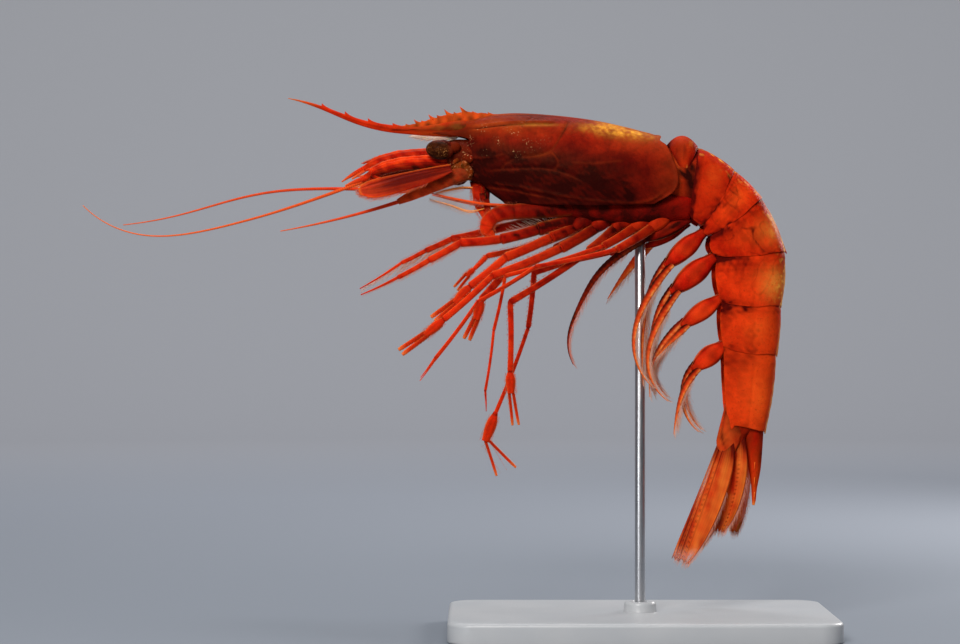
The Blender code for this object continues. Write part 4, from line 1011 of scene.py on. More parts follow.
def buildAntennule(hand):
    look = antennules[hand]
    points = mirrored(look["points"], hand)
    parts, lines = [], []
    for k, (lift, out, share, dark, lit) in enumerate(antennuleStrands):
        strand = [np.array(point) + (0, hand * out, lift) for point in points]
        strand[-1] = np.array(points[-1]) + (1.2 * k, hand * out * 0.4, lift * 0.4)
        part, line = bentPart(strand, np.array(look["halves"]) * share, 0.85, 24, 90, rough=0.1,
                              dark=(0.6, dark, dark, dark, 0.2), glow=(0.0, lit, lit, lit + 0.1, 0.35))
        parts.append(part)
        lines.append(line)
    path = lines[0]
    end = path[-1]
    length, pitches = shortFlagella[hand]
    parts.append(feelerPart(end + (0.9, 0, 0.4), hand, length, pitches, [4], [0.75, 0.55, 0.16], 14, 0.2))
    for k, (back, pitch) in enumerate(((24, 160), (42, 172), (64, 150))):
        foot = path[-back]
        tip = foot + heading(pitch + 18, 14, hand) * (2.9 + 0.5 * k)
        spike = [foot, foot + heading(pitch, 10, hand) * 1.7, tip]
        parts.append(bentPart(spike, [0.5, 0.3, 0.06], 0.8, 10, 14, glow=(0.4,))[0])
    sidePiece("Antennule", hand, parts, "limb")
    down = framesAlong(path)[2]
    for edge, count, length in ((-1, 230, 0.75), (1, 130, 0.9)):
        fringe(path + down * edge * 1.25, down * edge, count, length, 0.04725, 0.15, forward=1.6, taper=0.3,
               seed=11 + hand + edge)
    if hand == left:
        start = end + heading(205, 0, left) * 0.2 - (0, 0, 0.45)
        part = feelerPart(start, left, *longAntennule.values(), [0.46, 0.3, 0.2, 0.1], 130, 0.5)
        makePiece("AntennuleFlagellumLeft", [part], "feeler", ["antennule_flagellum_left"])
    else:
        start = end + heading(215, 0, right) * 0.1 - (0, 0, 0.5)
        part = feelerPart(start, right, 3.6, [214], [2], [0.5, 0.42, 0.2], 9, 0.4)
        makePiece("AntennuleStubRight", [part], "feeler")


def buildAntenna(hand):
    look = antennae[hand]
    part, path = bentPart(mirrored(look["points"], hand), look["halves"], 0.9, 30, 90, pale=0.06, rough=0.02,
                          dark=(0.85, 0.6, 0.3, 0.16, 0.16), glow=(0.0, 0.15, 0.4, 0.5, 0.5), joints=(0.985,))
    sidePiece("Antenna", hand, [part], "limb")
    look = antennaFlagella[hand]
    start = path[-1] - heading(look["pitches"][0], 0, hand) * 0.3
    part = feelerPart(start, hand, *look.values(), [0.5, 0.36, 0.26, 0.12], 60 if hand == left else 130, 0.1)
    sidePiece("AntennaFlagellum", hand, [part], "feeler")


for hand in (left, right):
    buildAntennule(hand)
    buildAntenna(hand)


# leaf shaped blades: the antennal scales and the tail fan

antennaScales = {
    left: dict(root=(-45.2, 7.4, 110.9), length=22.6, pitch=193.5, lean=4, half=3.7, roll=40),
    right: dict(root=(-45.2, 7.4, 111.6), length=22.4, pitch=187, lean=5, half=3.7, roll=40),
}
scaleOutline = ([0.34, 0.4, 0.44, 0.48, 0.52, 0.56, 0.6, 0.64, 0.66, 0.6, 0.12],
                [0.4, 0.66, 0.86, 1.0, 1.1, 1.18, 1.24, 1.28, 1.26, 1.08, 0.5])
bladeDetail = dict(rows=90, columns=34)


def bladePart(root, hand, length, pitch, lean, half, roll, outline, thick, camber, ribs, bend=0.0,
              ragged=0.0, seed=1):
    # the outline gives shares of the half width above and below the middle; ribs are (place, height, width)
    rows, columns = bladeDetail["rows"], bladeDetail["columns"]
    direction = heading(pitch, lean, hand)
    side, up = crossAxes(direction)
    wide = side * math.cos(math.radians(roll)) + up * math.sin(math.radians(roll)) * hand
    wide = wide * np.sign(wide[2])
    over = np.cross(direction, wide)
    over = over * np.sign(over[1] * hand)
    shares = 1 - (1 - np.linspace(0, 1, rows)) ** 1.5
    places = np.linspace(-1, 1, columns)
    s = shares[:, None]
    top, low = (throughPoints(edge, shares)[:, None] for edge in outline)
    reach = np.where(places > 0, top, low) * places * half
    notch = ragged * np.abs(waves(places * 9, 0 * places, 0 * places, 0.5, seed))
    along = s * length - notch * rise(s, 0.75, 1.0)
    arch = camber * (1 - places ** 2) * np.sin(np.pi * s ** 0.7) * half + bend * s ** 2 * length
    lift = sum((height * bell(places, place, width) for place, height, width in ribs), 0 * places)
    lift = lift * (1 - rise(s, 0.8, 1.0))
    corrugation = 0.03 * np.sin(places * 46) * rise(s, 0.1, 0.5)
    surface = np.array(root) * (1, hand, 1) + direction * along[..., None]
    surface = surface + wide * reach[..., None] + over * arch[..., None]
    outer = surface + over * (lift + corrugation + thick / 2)[..., None]
    inner = surface - over * (lift * 0.5 + thick / 2)[..., None]
    return outer, inner, surface, s, places, direction, wide


def bladeFringe(surface, column, *rest, **more):
    # along one of a blade's long edges
    out = unit(surface[:, column] - surface[:, surface.shape[1] // 2] + 1e-6)
    fringe(surface[:, column], out, *rest, taper=0.3, **more)


def tipFringe(surface, row, direction, *rest, **more):
    # across a blade's end
    path = surface[row]
    fringe(path, np.broadcast_to(direction, path.shape), *rest, forward=0.0, taper=0.3, **more)


def scaleTint(shape, s, places):
    edge = rise(np.abs(places), 0.92, 1.0) + rise(s, 0.96, 1.0)
    mottle = waves(places * 6 + 0 * s, s * 5, 0 * s, 1.1, 52)
    dark = 0.62 * (1 - rise(s, 0.55, 1.0)) * (1 - 0.75 * rise(places, 0.6, 0.8))
    dark = dark + 0.5 * bell(places, 0.3, 0.12) + 0.35 * mottle
    dark = dark + 0.05 * np.sin(places * 34 + 1.5 * np.sin(s * 5)) + 0.24
    glow = 0.45 * edge * rise(s, 0.5, 0.9) + 0.75 * rise(places, 0.66, 0.8) * (1 - 0.8 * s)
    glow = glow + 0.06 * s * (1 + mottle)
    return tinted(shape, dark * (1 - 0.9 * edge * rise(s, 0.6, 0.9)), glow, 0.12 * rise(s, 0.9, 1.0) * edge)


def buildScale(hand):
    look = antennaScales[hand]
    outer, inner, surface, s, places, direction, wide = bladePart(
        **look, hand=hand, outline=scaleOutline, thick=0.26, camber=0.16,
        ribs=[(0.86, 0.34, 0.1), (0.45, 0.16, 0.08), (-0.1, 0.08, 0.06)])
    blade = platePart(outer, inner, scaleTint(outer.shape[:2], s, places))
    foot, size = surface[-14, -2], np.linspace(0.3, 0.05, 12)
    spike = throughPoints([surface[-26, -3], foot + direction, foot + direction * 2.6 + wide * 0.2],
                          np.linspace(0, 1, 12))
    sidePiece("AntennaScale", hand, [blade, tintedPart(tubeGrid(spike, size, size, 10), 0, 0.6)], "fin")
    bladeFringe(surface, 0, 150, 1.5, 0.04725, 0.2, 0.98, forward=0.7, seed=31 + hand)
    tipFringe(surface, -4, direction, 60, 1.2, 0.04725, 0.0, 0.85, seed=33 + hand)


for hand in (left, right):
    buildScale(hand)
print("feelers and scales built")


# chest floor, mouthparts and the jaws

legRoots = [-14.6, -10.0, -5.2, -0.8, 3.3]  # where they stand along the chest
chestStations = [
    (-33.5, 106.5, -32.0, 102.6, 3.2), (-27.0, 105.5, -26.0, 100.4, 4.8), (-18.5, 105.5, -18.5, 98.9, 6.2),
    (-9.0, 105.5, -9.0, 97.4, 7.2), (0.0, 105.5, 0.0, 97.2, 7.2), (6.0, 106.0, 5.4, 98.0, 6.6),
    (12.5, 105.5, 11.5, 98.4, 6.0)]
mouthStations = [(-35.9, 107.2, -36.1, 103.8, 2.2), (-37.4, 107.6, -37.1, 101.6, 2.8),
                 (-39.2, 107.9, -38.6, 101.8, 2.6), (-40.9, 108.2, -40.0, 104.4, 1.8)]
mouthThreads = [  # points, half thickness, glow, pale
    ([(-31.6, 4.6, 102.2), (-38.0, 5.2, 102.6), (-44.6, 4.8, 103.8), (-49.9, 4.0, 105.1)], 0.3, 0.4, 0.1),
    ([(-36.6, 3.6, 101.6), (-41.0, 3.9, 100.9), (-45.6, 3.5, 102.4), (-50.4, 3.0, 103.7)], 0.13, 0.7, 0.9),
    ([(-38.8, 2.6, 106.4), (-42.5, 3.0, 106.6), (-46.6, 2.6, 105.9), (-49.0, 2.2, 105.2)], 0.16, 0.6, 0.7),
]


def hipPart(number, hand):
    # over the root of a leg
    x = legRoots[number]
    shares = np.linspace(0, 1, 16)
    path = throughPoints([(x + 2.6, hand * 3.0, 100.8), (x + 0.9, hand * 4.1, 98.6),
                          (x - 1.2, hand * 4.0, 96.9)], shares)
    wide, deep = throughPoints([1.6, 1.7, 1.6, 1.35], shares), throughPoints([2.1, 2.2, 1.9, 1.4], shares)
    hip = tubeGrid(path, wide, deep, 24)
    lumps = wavesOn(hip, 1.0, 35)
    return tintedPart(hip, 0.85 - 0.12 * number - 0.25 * lumps, 0.1 * number + 0.2 * lumps, 0, 0.3)


def buildChest():
    body = sectionGrid(chestStations, 56, 0.75)
    dark = 0.95 - 0.3 * rise(body[..., 0], 4, 10) + 0.3 * wavesOn(body, 1.6, 4)
    parts = [tintedPart(body, dark, 0.0, 0, 0.3)]
    parts += [hipPart(number, hand) for hand in (left, right) for number in range(5)]
    makePiece("ChestFloor", parts, "limb", ["thorax"])


def buildMouth():
    block = sectionGrid(mouthStations, 40, 0.8)
    lumps = wavesOn(block, 1.0, 31) + 0.5 * wavesOn(block, 0.45, 32)
    block[..., 1] += np.sign(block[..., 1]) * 0.3 * lumps
    parts = [tintedPart(block, 0.6 - 0.4 * lumps, 0.15 + 0.25 * lumps, 0, 0.4)]
    for hand in (left, right):
        palp, joints = limbParts((-39.2, hand * 2.3, 106.8), hand, [(4.4, 274, 8, 1.35), (3.9, 296, 0, 0.9)],
                                 0.7, 22, dark=[0.35, 0.15], glow=[0.15, 0.3])
        parts += palp
        coatLimb(joints, [1.5, 1.0], 35, 0.9, 0.04725, seed=41 + hand, forward=0.5)
        for k in range(3):
            lobe = [(2.6, 262 + 9 * k, 4, 0.95), (2.3, 284 + 8 * k, -10, 0.75)]
            foot = (-38.9 + 0.9 * k, hand * (2.7 + 0.3 * k), 106.4 - 1.3 * k)
            parts += limbParts(foot, hand, lobe, 0.5, 18, dark=[0.7, 0.35], glow=[0.0, 0.15])[0]
        for points, thick, lit, clear in mouthThreads:
            halves = [thick, thick, thick * 0.8, thick * 0.4]
            part, path = bentPart(mirrored(points, hand), halves, 0.7, 10, 50, glow=(lit, lit + 0.2),
                                  pale=clear)
            parts.append(part)
            up = framesAlong(path)[2]
            for edge in (1, -1):
                fringe(path, up * edge, 60, 1.3, 0.027, 0.3, taper=0.4, seed=45 + edge + hand, pale=0.5)
    makePiece("Mouthparts", parts, "limb", ["mouthparts"])


buildChest()
buildMouth()

secondJaw = dict(
    points=[(-16.0, 5.0, 101.6), (-24.0, 5.4, 101.0), (-29.5, 5.4, 100.7), (-33.6, 5.2, 100.2),
            (-36.2, 5.0, 98.6), (-36.8, 4.8, 96.4), (-35.4, 4.6, 94.6)],
    halves=[1.9, 1.95, 1.9, 1.85, 1.75, 1.55, 0.9], joints=(0.36, 0.58, 0.76, 0.9))
thirdJaws = {
    left: ((-15.6, 3.6, 99.0), [(9.6, 196, 13, 1.7), (9.3, 195, 10, 1.35), (9.6, 185, 4, 1.1),
                                (8.6, 209, 0, 0.9), (8.4, 209, -2, 0.65), (9.8, 205, -4, 0.4)]),
    right: ((-15.6, 3.6, 99.4), [(10.9, 183, 14, 1.6), (9.6, 192, 12, 1.15), (10.3, 193, 4, 0.95),
                                 (6.8, 204, 0, 0.75), (6.6, 207, -2, 0.55), (12.0, 212, -4, 0.38)]),
}


def buildSecondJaw(hand):
    points = mirrored(secondJaw["points"], hand, 0.4 if hand == right else 0)
    part, path = bentPart(points, secondJaw["halves"], 0.75, 26, 90, dark=(0.85, 0.75, 0.5, 0.1, 0.0),
                          glow=(0.0, 0.0, 0.1, 0.25, 0.3), joints=secondJaw["joints"])
    sidePiece("MaxillipedSecond", hand, [part], "limb")
    up = framesAlong(path)[2]
    for edge in (1, -1):
        fringe(path + up * edge * 1.2, up * edge, 130, 1.5, 0.0297, 0.15, forward=0.4, seed=50 + edge + hand)


def buildThirdJaw(hand):
    # a leg-like jaw; the far one carries the long comb that shows under the head
    (x, y, z), articles = thirdJaws[hand]
    parts, joints = limbParts((x, hand * y, z), hand, articles, 0.8, 22, dark=[0.92, 0.7, 0.3, 0.1],
                              glow=[0.0, 0.0, 0.1, 0.2, 0.3, 0.35])
    sidePiece("MaxillipedThird", hand, parts, "limb")
    halves = [article[3] for article in articles]
    length, forward, pale = (4.6, 2.2, 0.45) if hand == right else (1.2, 1.1, 0.2)
    coatLimb(joints[2:], halves[2:], 280, length, 0.0432, which=(-1,), seed=60 + hand, forward=forward,
             pale=pale)
    coatLimb(joints[1:], halves[1:], 130, 1.1, 0.0297, which=(1,), seed=64 + hand, forward=1.1)
    coatLimb(joints[:3], halves[:3], 45, 2.6, 0.0405, seed=66 + hand, forward=0.8, pale=0.6)


for hand in (left, right):
    buildSecondJaw(hand)
    buildThirdJaw(hand)
print("chest and jaws built")


# walking legs and their pincers

legs = {
    (1, left): [(8.6, 203, 28, 1.4), (12.0, 204, 12, 1.15), (10.8, 219, 0, 1.0)],
    (1, right): [(10.9, 203, 22, 1.3), (13.2, 193, 8, 0.75), (4.4, 225, 4, 0.55)],
    (2, left): [(12.3, 211, 29, 1.4), (17.7, 202, 8, 1.1), (15.4, 222, 0, 0.8)],
    (2, right): [(12.6, 208, 25, 1.4), (14.6, 206, 10, 1.05), (7.8, 229, 4, 0.95)],
    (3, left): [(11.6, 220, 34, 1.5), (22.6, 213, 9, 0.85), (16.4, 270, -4, 0.7)],
    (3, right): [(9.4, 226, 28, 1.5), (15.5, 199, 14, 0.8), (13.6, 264, 4, 0.72), (22.7, 249, -3, 0.5)],
    (4, left): [(13.2, 211, 41, 1.3), (24.5, 197, 9, 0.6), (13.1, 258, -4, 0.42), (14.4, 262, -4, 0.34),
                (4.8, 273, 0, 0.26)],
    (4, right): [(13.2, 211, 41, 1.3), (24.0, 196, 9, 0.55), (13.7, 258, -4, 0.38), (15.1, 262, -4, 0.32),
                 (5.0, 272, 0, 0.26)],
    (5, left): [(16.6, 212, 47, 1.3), (19.8, 192, 8, 0.6), (15.8, 211, 2, 0.42), (16.5, 233, -4, 0.34),
                (5.7, 234, 0, 0.26)],
    (5, right): [(16.4, 212, 46, 1.3), (18.7, 191, 8, 0.55), (16.6, 211, 2, 0.38), (18.2, 233, -4, 0.32),
                 (6.0, 234, 0, 0.26)],
}
pincers = {  # palm length, pitch, half depth, then finger length and the pitches of the two fingers
    (1, left): (5.6, 227, 1.2, 6.4, 216, 219),
    (1, right): (2.9, 222, 0.65, 4.0, 227, 231),
    (2, left): (6.0, 220, 1.15, 7.0, 213, 217),
    (2, right): (5.2, 256, 1.25, 5.4, 243, 248),
    (3, left): (5.3, 272, 1.15, 7.6, 276, 280),
    (3, right): (7.2, 250, 1.3, 9.0, 288, 315),
}


def fingerPart(start, hand, length, pitch, lean, half, curl):
    path = sweep(start, hand, length, [pitch - curl, pitch, pitch + curl], [lean], 44)
    s = np.linspace(0, 1, 45)[:, None]
    teeth = np.sin(s * 60)
    size = spread([0.9, 1.0, 1.0, 0.98, 0.97, 0.96, 0.94, 0.92, 0.7], s[:, 0]) * half
    size = size * (1 + 0.04 * teeth[:, 0])
    # painted rim highlights along the upper and lower edges, and painted shade between them
    rim = np.abs(np.sin(ringAngles(14))) ** 4
    return tintedPart(tubeGrid(path, size * 0.8, size, 14), 0.3 * (1 - s) ** 2 + 0.25 * (1 - rim),
                      0.19 + 0.09 * teeth + 0.2 * s + 0.3 * rim, 0.3 * rim + 0.3 * rise(s, 0.7, 1))


def buildPincer(number, hand, joint, lean):
    palm, pitch, half, finger, fixed, moving = pincers[number, hand]
    direction = heading(pitch, lean, hand)
    start = joint - direction * 0.15
    end = start + direction * palm
    shares = np.linspace(0, 1, 40)
    s = shares[:, None]
    deep = throughPoints([0.5, 0.8, 1.0, 1.03, 0.95, 0.82, 0.74], shares) * half
    grid = tubeGrid(start + direction * palm * s, deep * 0.72, deep, 24)
    fold, turn = bell(s, 0, 0.06), ringAngles(24)
    # painted rim highlights along the palm's upper and lower edges
    rim = np.abs(np.sin(turn)) ** 8
    lines = 0.5 + 0.5 * np.sin(6 * turn) * rise(s, 0.1, 0.3)
    parts = [tintedPart(grid, 0.7 * fold + 0.3 * lines * (1 - rim), 0.15 + 0.15 * s + 0.4 * rim - 0.1 * fold,
                        0.35 * rim[None], 0.3), jointPart(start, half * 0.5, 0.9)]
    thick = 0.56 if half > 0.8 and number < 3 else 0.38
    for pitch, curl in ((fixed, -1), (moving, 1)):
        foot = end - direction * 0.7 + crossAxes(direction)[1] * (curl * 0.46)
        parts.append(fingerPart(foot, hand, finger + 0.7, pitch, lean, thick, curl))
    sidePiece(f"Pincer{number}", hand, parts, "limb")
    tip = end + heading((fixed + moving) / 2, lean, hand) * finger
    coatLimb([start, end, tip], [half, half * 0.7], 65, 0.8, 0.0378, seed=120 + number * 4 + hand,
             forward=1.0)


def buildLeg(number, hand, articles):
    thin = number > 3
    sides, dark, count, length = (16, [0.5, 0.2, 0.05], 60, 0.4) if thin else (22, [0.8, 0.4, 0.05], 100, 0.7)
    parts, joints = limbParts((legRoots[number - 1], hand * 3.2, 97.4), hand, articles, 0.8, sides, dark=dark,
                              glow=[0.15, 0.18, 0.2, 0.25, 0.3], tip=thin)
    sidePiece(f"Leg{number}", hand, parts, "limb")
    halves = [article[3] for article in articles]
    coatLimb(joints, halves, count, length, 0.027, seed=70 + number * 4 + hand, forward=0.8)
    if not thin:
        coatLimb(joints[1:], halves[1:], 45, 0.42, 0.0945, seed=90 + number * 4 + hand)
        buildPincer(number, hand, joints[-1], articles[-1][2])


for (number, hand), articles in legs.items():
    buildLeg(number, hand, articles)
print("legs and pincers built")


# abdomen: six shells over one soft body, each shell's rear edge standing over the next one

abdomenPlanes = [
    ((13.7, 116.4), (11.2, 100.0), 7.4),
    ((22.2, 111.0), (14.6, 97.2), 7.5),
    ((29.0, 104.4), (16.4, 94.8), 7.4),
    ((34.7, 91.7), (17.9, 89.9), 7.0),
    ((33.8, 78.7), (19.1, 79.1), 6.3),
    ((32.8, 66.9), (19.7, 68.3), 5.5),
    ((30.0, 48.7), (20.7, 50.7), 3.9),
]
segmentBulges = [0.5, 0.35, 0.4, 0.3, 0.2, 0.3]
segmentLobes = [0.3, 0.8, 0.9, 0.8, 0.6, 0.3]
segmentGlows = [0.05, 0.08, 0.06, 0.12, 0.28, 0.42]
# pale places on two of the shells: strength, centre, radii
palePlaces = {3: (0.3, (31.5, 96.5), (2.6, 3.0)), 4: (0.5, (32.4, 83.5), (3.2, 3.4))}
backTurn = math.radians(128)


def backSection(angle):
    # height and width shares of the back and flanks at an angle from the midline
    c, s = np.cos(angle), np.sin(angle)
    height = np.where(c > 0, np.abs(c), -np.minimum(np.abs(c) ** 0.8 * 1.5, 1.0))
    return height, np.sign(angle) * np.abs(s) ** 0.85


def segmentGrid(number, s, angles, grow):
    (frontTop, frontLow, frontHalf), (backTop, backLow, backHalf) = abdomenPlanes[number - 1:number + 1]
    s = s[:, None]
    top = np.array(frontTop) * (1 - s) + np.array(backTop) * s
    bottom = np.array(frontLow) * (1 - s) + np.array(backLow) * s
    axis = unit(top - bottom)
    hump = 4 * s * (1 - s)
    top = top + axis * (segmentBulges[number - 1] * hump + grow[..., None])
    bottom = bottom - axis * (segmentLobes[number - 1] * np.clip(hump, 0, 1))
    half = frontHalf + (backHalf - frontHalf) * s[..., 0] + grow
    height, reach = backSection(angles)
    flat = (top + bottom) / 2 + (top - bottom) / 2 * height[None, :, None]
    return np.stack([flat[..., 0], half * reach[None], flat[..., 1]], -1)


def pushEdge(grid, low, high, push):
    # moves rows of a shell along its length in the side view
    axis = (grid[high] - grid[low]) * (1, 0, 1)
    grid += unit(axis)[None] * push[..., None]


def buildSegment(number, angles):
    side = angles[None] / backTurn
    flank = np.abs(side)
    s = np.linspace(-0.05 if number > 1 else 0.0, 1.035, 74)[:, None]
    grow = -0.2 + 0.24 * rise(s, 0.0, 0.16) + 0.02 * rise(s, 0.82, 1.03)
    grid = segmentGrid(number, s, angles, grow)
    normals = outwardNormals(grid, 0)
    lift = 0.07 * wavesOn(grid, 2.6, 20 + number) + 0.05 * wavesOn(grid, 1.0, 80 + number)
    lift -= 0.05 * bell(s, 0.2, 0.035) * (flank < 0.75)
    if number >= 3:
        lift += (0.28 * bell(side, 0, 0.03) - 0.04 * bell(side, 0, 0.12)) * rise(s, 0.05, 0.5)
    # each flap hangs from a fold halfway down the flank
    lift -= 0.1 * bell(flank, 0.63 + 0.04 * s, 0.03) * rise(s, 0.05, 0.3)
    lift += 0.12 * bell(flank, 0.8, 0.12) * bell(s, 0.5, 0.35)
    smooth = grid
    grid = grid + normals * lift[..., None]
    # the rear edge bows back on the flank and rounds off below; the midline ends in a small spine
    push = 0.5 * bell(flank, 0.66, 0.16) - 0.7 * rise(flank, 0.88, 1.0)
    if number >= 3:
        push = push + 0.5 * np.exp(-flank / 0.02)
    if number == 6:
        push = push + 1.4 * bell(flank, 0.93, 0.05) - 0.6 * bell(flank, 0.66, 0.16)
    pushEdge(grid, -8, -1, push * rise(s, 0.55, 1.03) ** 1.5)
    # the front lower corner rounds off too
    pushEdge(grid, 0, 8, 0.5 * rise(flank, 0.86, 1.0) * (1 - rise(s, -0.05, 0.5)))
    normals = outwardNormals(grid, 0)
    part = platePart(grid, grid - normals * 0.22, segmentTint(number, smooth, s, side))
    makePiece(f"AbdomenShell{number}", [part], "shell", [f"abdomen_{number}"])


def segmentTint(number, grid, s, side):
    x, z, flank = grid[..., 0], grid[..., 2], np.abs(side)
    patchy, blotch = wavesOn(grid, 2.2, 30 + number), wavesOn(grid, 1.1, 60 + number)
    crumbs = wavesOn(grid, 0.45, 100 + number)
    veins = 1 - np.abs(wavesOn(grid, 1.5, 90 + number) + 0.3 * blotch)
    uneven = np.clip(0.55 + 0.6 * blotch + 0.35 * crumbs, 0, 1.4)
    low = rise(flank, 0.55, 0.9)
    # the front of each shell, its rear edge and the lower flank are darkened: the dark joints, with painted
    # shade where the front tucks under the shell before it and low on the flank
    dark = 0.6 * (1 - rise(s, 0.0, 0.05)) + 0.75 * (1 - rise(s, 0.02, 0.3)) * uneven * (0.45 + 0.55 * low)
    dark = dark + 0.75 * rise(flank, 0.62, 0.95) * (1 - rise(s, 0.05, 0.4)) * uneven
    dark = dark + 0.6 * bell(s, 1.0, 0.1) * uneven * (0.4 + 0.6 * low)
    dark = dark + 0.42 * np.clip(patchy + 0.5 * crumbs + 0.2 * blotch, 0, 1)
    dark = dark + 0.45 * rise(veins, 0.84, 1.0) * (0.5 + 0.5 * patchy) * (number < 5)
    if number == 1:
        dark = dark + 0.25 + 0.6 * (1 - rise(s, 0.0, 0.3)) * rise(flank, 0.3, 0.6)
    dark = (dark + 0.12 * (number in (2, 3)) * (1 - s)) * (0.6 if number == 6 else 1.0)
    centre = bell(s, 0.55, 0.26) * bell(flank, 0.5, 0.22)
    glow = 0.7 * centre * (0.7 + 0.4 * patchy + 0.3 * blotch + 0.2 * crumbs)
    glow = glow + segmentGlows[number - 1] * (1 - 0.4 * low)
    # painted rim light along the lower edge and along the dorsal midline
    glow = glow + 0.2 * rise(flank, 0.97, 1.0) + 0.4 * bell(side, 0, 0.12) * (0.7 + 0.5 * blotch)
    # gold along the back as painted rim light and painted golden glints, with thin lines of painted highlight
    # beside the midline
    pale = 0.5 * bell(side, 0, 0.06) * rise(s, 0.25, 0.6) * (number > 3)
    pale = pale + 0.75 * rise(crumbs + 0.5 * blotch, 0.3, 0.75) * rise(-flank, -0.42, -0.1) * (number < 5)
    pale = pale + 0.6 * rise(-flank, -0.2, -0.1) * (0.35 + 0.45 * blotch + 0.5 * crumbs)
    paintedHighlightLines = bell(flank, 0.15, 0.012) + 0.7 * bell(flank, 0.215, 0.008) * (number < 3)
    pale = pale + 0.9 * paintedHighlightLines * rise(blotch + 0.6 * crumbs, -0.35, 0.1) * bell(s, 0.55, 0.32) * (number < 4)
    if number in palePlaces:
        strength, middle, radii = palePlaces[number]
        pale = pale + strength * blob(x, z, middle, radii)
    return tinted(x.shape, dark * (1 - 0.6 * pale.clip(0, 1)), glow, pale, 0.35)


def buildHoop():
    # the raised hoop in front of the first shell
    t, a = np.linspace(0, 1, 40)[:, None], np.linspace(-1, 1, 91)[None]
    theta = a * math.radians(86)
    length = 3.7 * np.clip(1 - np.abs(a) ** 1.9, 0.02, 1)
    arch = 1 - (2 * t - 1) ** 2
    width = 7.25 * softened(np.sin(theta), 0.85) * (1 - 0.16 * rise(np.abs(a), 0.55, 0.95))
    height = 8.4 + 2.4 * arch * (1 - np.abs(a) ** 1.5)
    grid = np.stack([10.1 + (2 * t - 1) * length, width + 0.25 * np.sign(a) * arch,
                     108.3 + height * np.cos(theta) - 0.35 * (t - 0.4)], -1)
    normals = outwardNormals(grid, 2)
    grid = grid + normals * (0.05 * np.sin(a * 130) * arch)[..., None]
    mottle, streak = wavesOn(grid, 1.0, 72), wavesOn(grid * (3, 1, 0.6), 1.4, 73)
    dark = 0.6 - 0.4 * arch + 0.4 * np.abs(a) + 0.3 * mottle + 0.35 * np.clip(streak, 0, 1)
    pale = 0.35 * bell(t, 0.78, 0.05) * rise(-streak, -0.2, 0.4)
    tint = tinted(mottle.shape, dark, 0.35 * arch + 0.2 * mottle, pale, 0.2)
    makePiece("AbdomenHoop", [platePart(grid, grid - normals * 0.4, tint)], "shell")


def buildBody():
    # soft body inside the shells, the membrane of the neck, and a cross bar on the belly under each joint
    stations = [(3.0, 115.2, 2.0, 103.8, 6.2), (7.2, 116.2, 9.4, 101.6, 6.4)]
    for top, bottom, half in abdomenPlanes:
        top, bottom = np.array(top), np.array(bottom)
        stations.append((*(top * 0.93 + bottom * 0.07), *(bottom * 0.94 + top * 0.06), half - 0.95))
    core = sectionGrid(stations, 64, 0.82)
    x, y, z = core[..., 0], core[..., 1], core[..., 2]
    y += np.sign(y) * 0.12 * np.sin(np.linspace(0, 120, len(core)))[:, None] * (np.abs(y) > 1)
    neckLine = nearLine(x, z, [(8.2, 112.0), (10.2, 109.2), (12.6, 112.6)], 0.35)
    dark = 0.3 + 0.35 * wavesOn(core, 1.3, 44) + 0.25 * wavesOn(core, 0.5, 45)
    dark = dark + 0.7 * blob(x, z, (12.2, 106.5), (1.7, 5.5)) + 0.5 * neckLine
    strip = blob(x, z, (8.6, 111.5), (1.6, 4.5)) + 0.6 * blob(x, z, (8.2, 104.0), (1.2, 3.0))
    parts = [tintedPart(core, dark, 0.1 + 0.6 * strip + 0.2 * wavesOn(core, 0.7, 46), 0, 0.3)]
    angle = ringAngles(14, 0)
    ring = np.stack([np.cos(angle) * 0.55, 0 * angle, np.sin(angle) * 0.55], -1)
    for _, (bx, bz), half in abdomenPlanes[1:6]:
        bar = throughPoints([(bx + 0.5, -half * 0.72, bz + 0.9), (bx - 0.1, 0, bz + 0.6),
                             (bx + 0.5, half * 0.72, bz + 0.9)], np.linspace(0, 1, 30))
        parts.append(tintedPart(bar[:, None] + ring[None], 0.2, 0.4))
    makePiece("AbdomenBody", parts, "flesh")


for number in range(1, 7):
    buildSegment(number, np.linspace(-backTurn, backTurn, 151))
buildHoop()
buildBody()


# telson and the tail fan

def buildTelson():
    grid = sectionGrid([
        (29.8, 50.8, 23.2, 51.4, 3.0), (29.4, 48.2, 24.6, 48.8, 2.6), (29.1, 43.6, 25.2, 44.6, 2.1),
        (28.7, 39.0, 25.9, 40.2, 1.6), (28.0, 34.6, 26.6, 35.6, 0.9), (27.8, 31.8, 26.8, 32.2, 0.5),
        (27.5, 30.4, 26.9, 30.5, 0.22)], 48, 0.9)
    z, across = grid[..., 2], np.cos(ringAngles(48))
    top = np.clip(np.sin(ringAngles(48)), 0, 1)
    ridges = 0.3 * bell(across, 0.32, 0.12) + 0.3 * bell(across, -0.32, 0.12) - 0.3 * bell(across, 0, 0.14)
    grid[..., 0] += ridges * top ** 2 * rise(z, 30, 40)
    share = rise(-z, -50, -30)
    mottle = wavesOn(grid, 1.1, 74) + 0.5 * wavesOn(grid, 0.4, 75)
    dark = 0.62 * (1 - share) + 0.25 * bell(across, 0, 0.16) * top + 0.3 * mottle
    parts = [tintedPart(grid, dark, 0.12 + 0.45 * share + 0.2 * mottle, 0.6 * rise(-z, -32.0, -30.4), 0.4)]
    size = np.linspace(0.16, 0.03, 8)
    for hand in (left, right):
        for height in (41.0, 37.2, 33.6):
            half = np.interp(height, [30, 36, 44], [0.5, 1.35, 2.0])
            ends = [(27.4, hand * half * 0.9, height), (27.2, hand * (half + 0.5), height - 1.8)]
            spine = throughPoints(ends, np.linspace(0, 1, 8))
            parts.append(tintedPart(tubeGrid(spine, size, size, 8), 0, 0.7, 0.3))
    makePiece("TelsonShell", parts, "shell", ["telson"])


buildTelson()

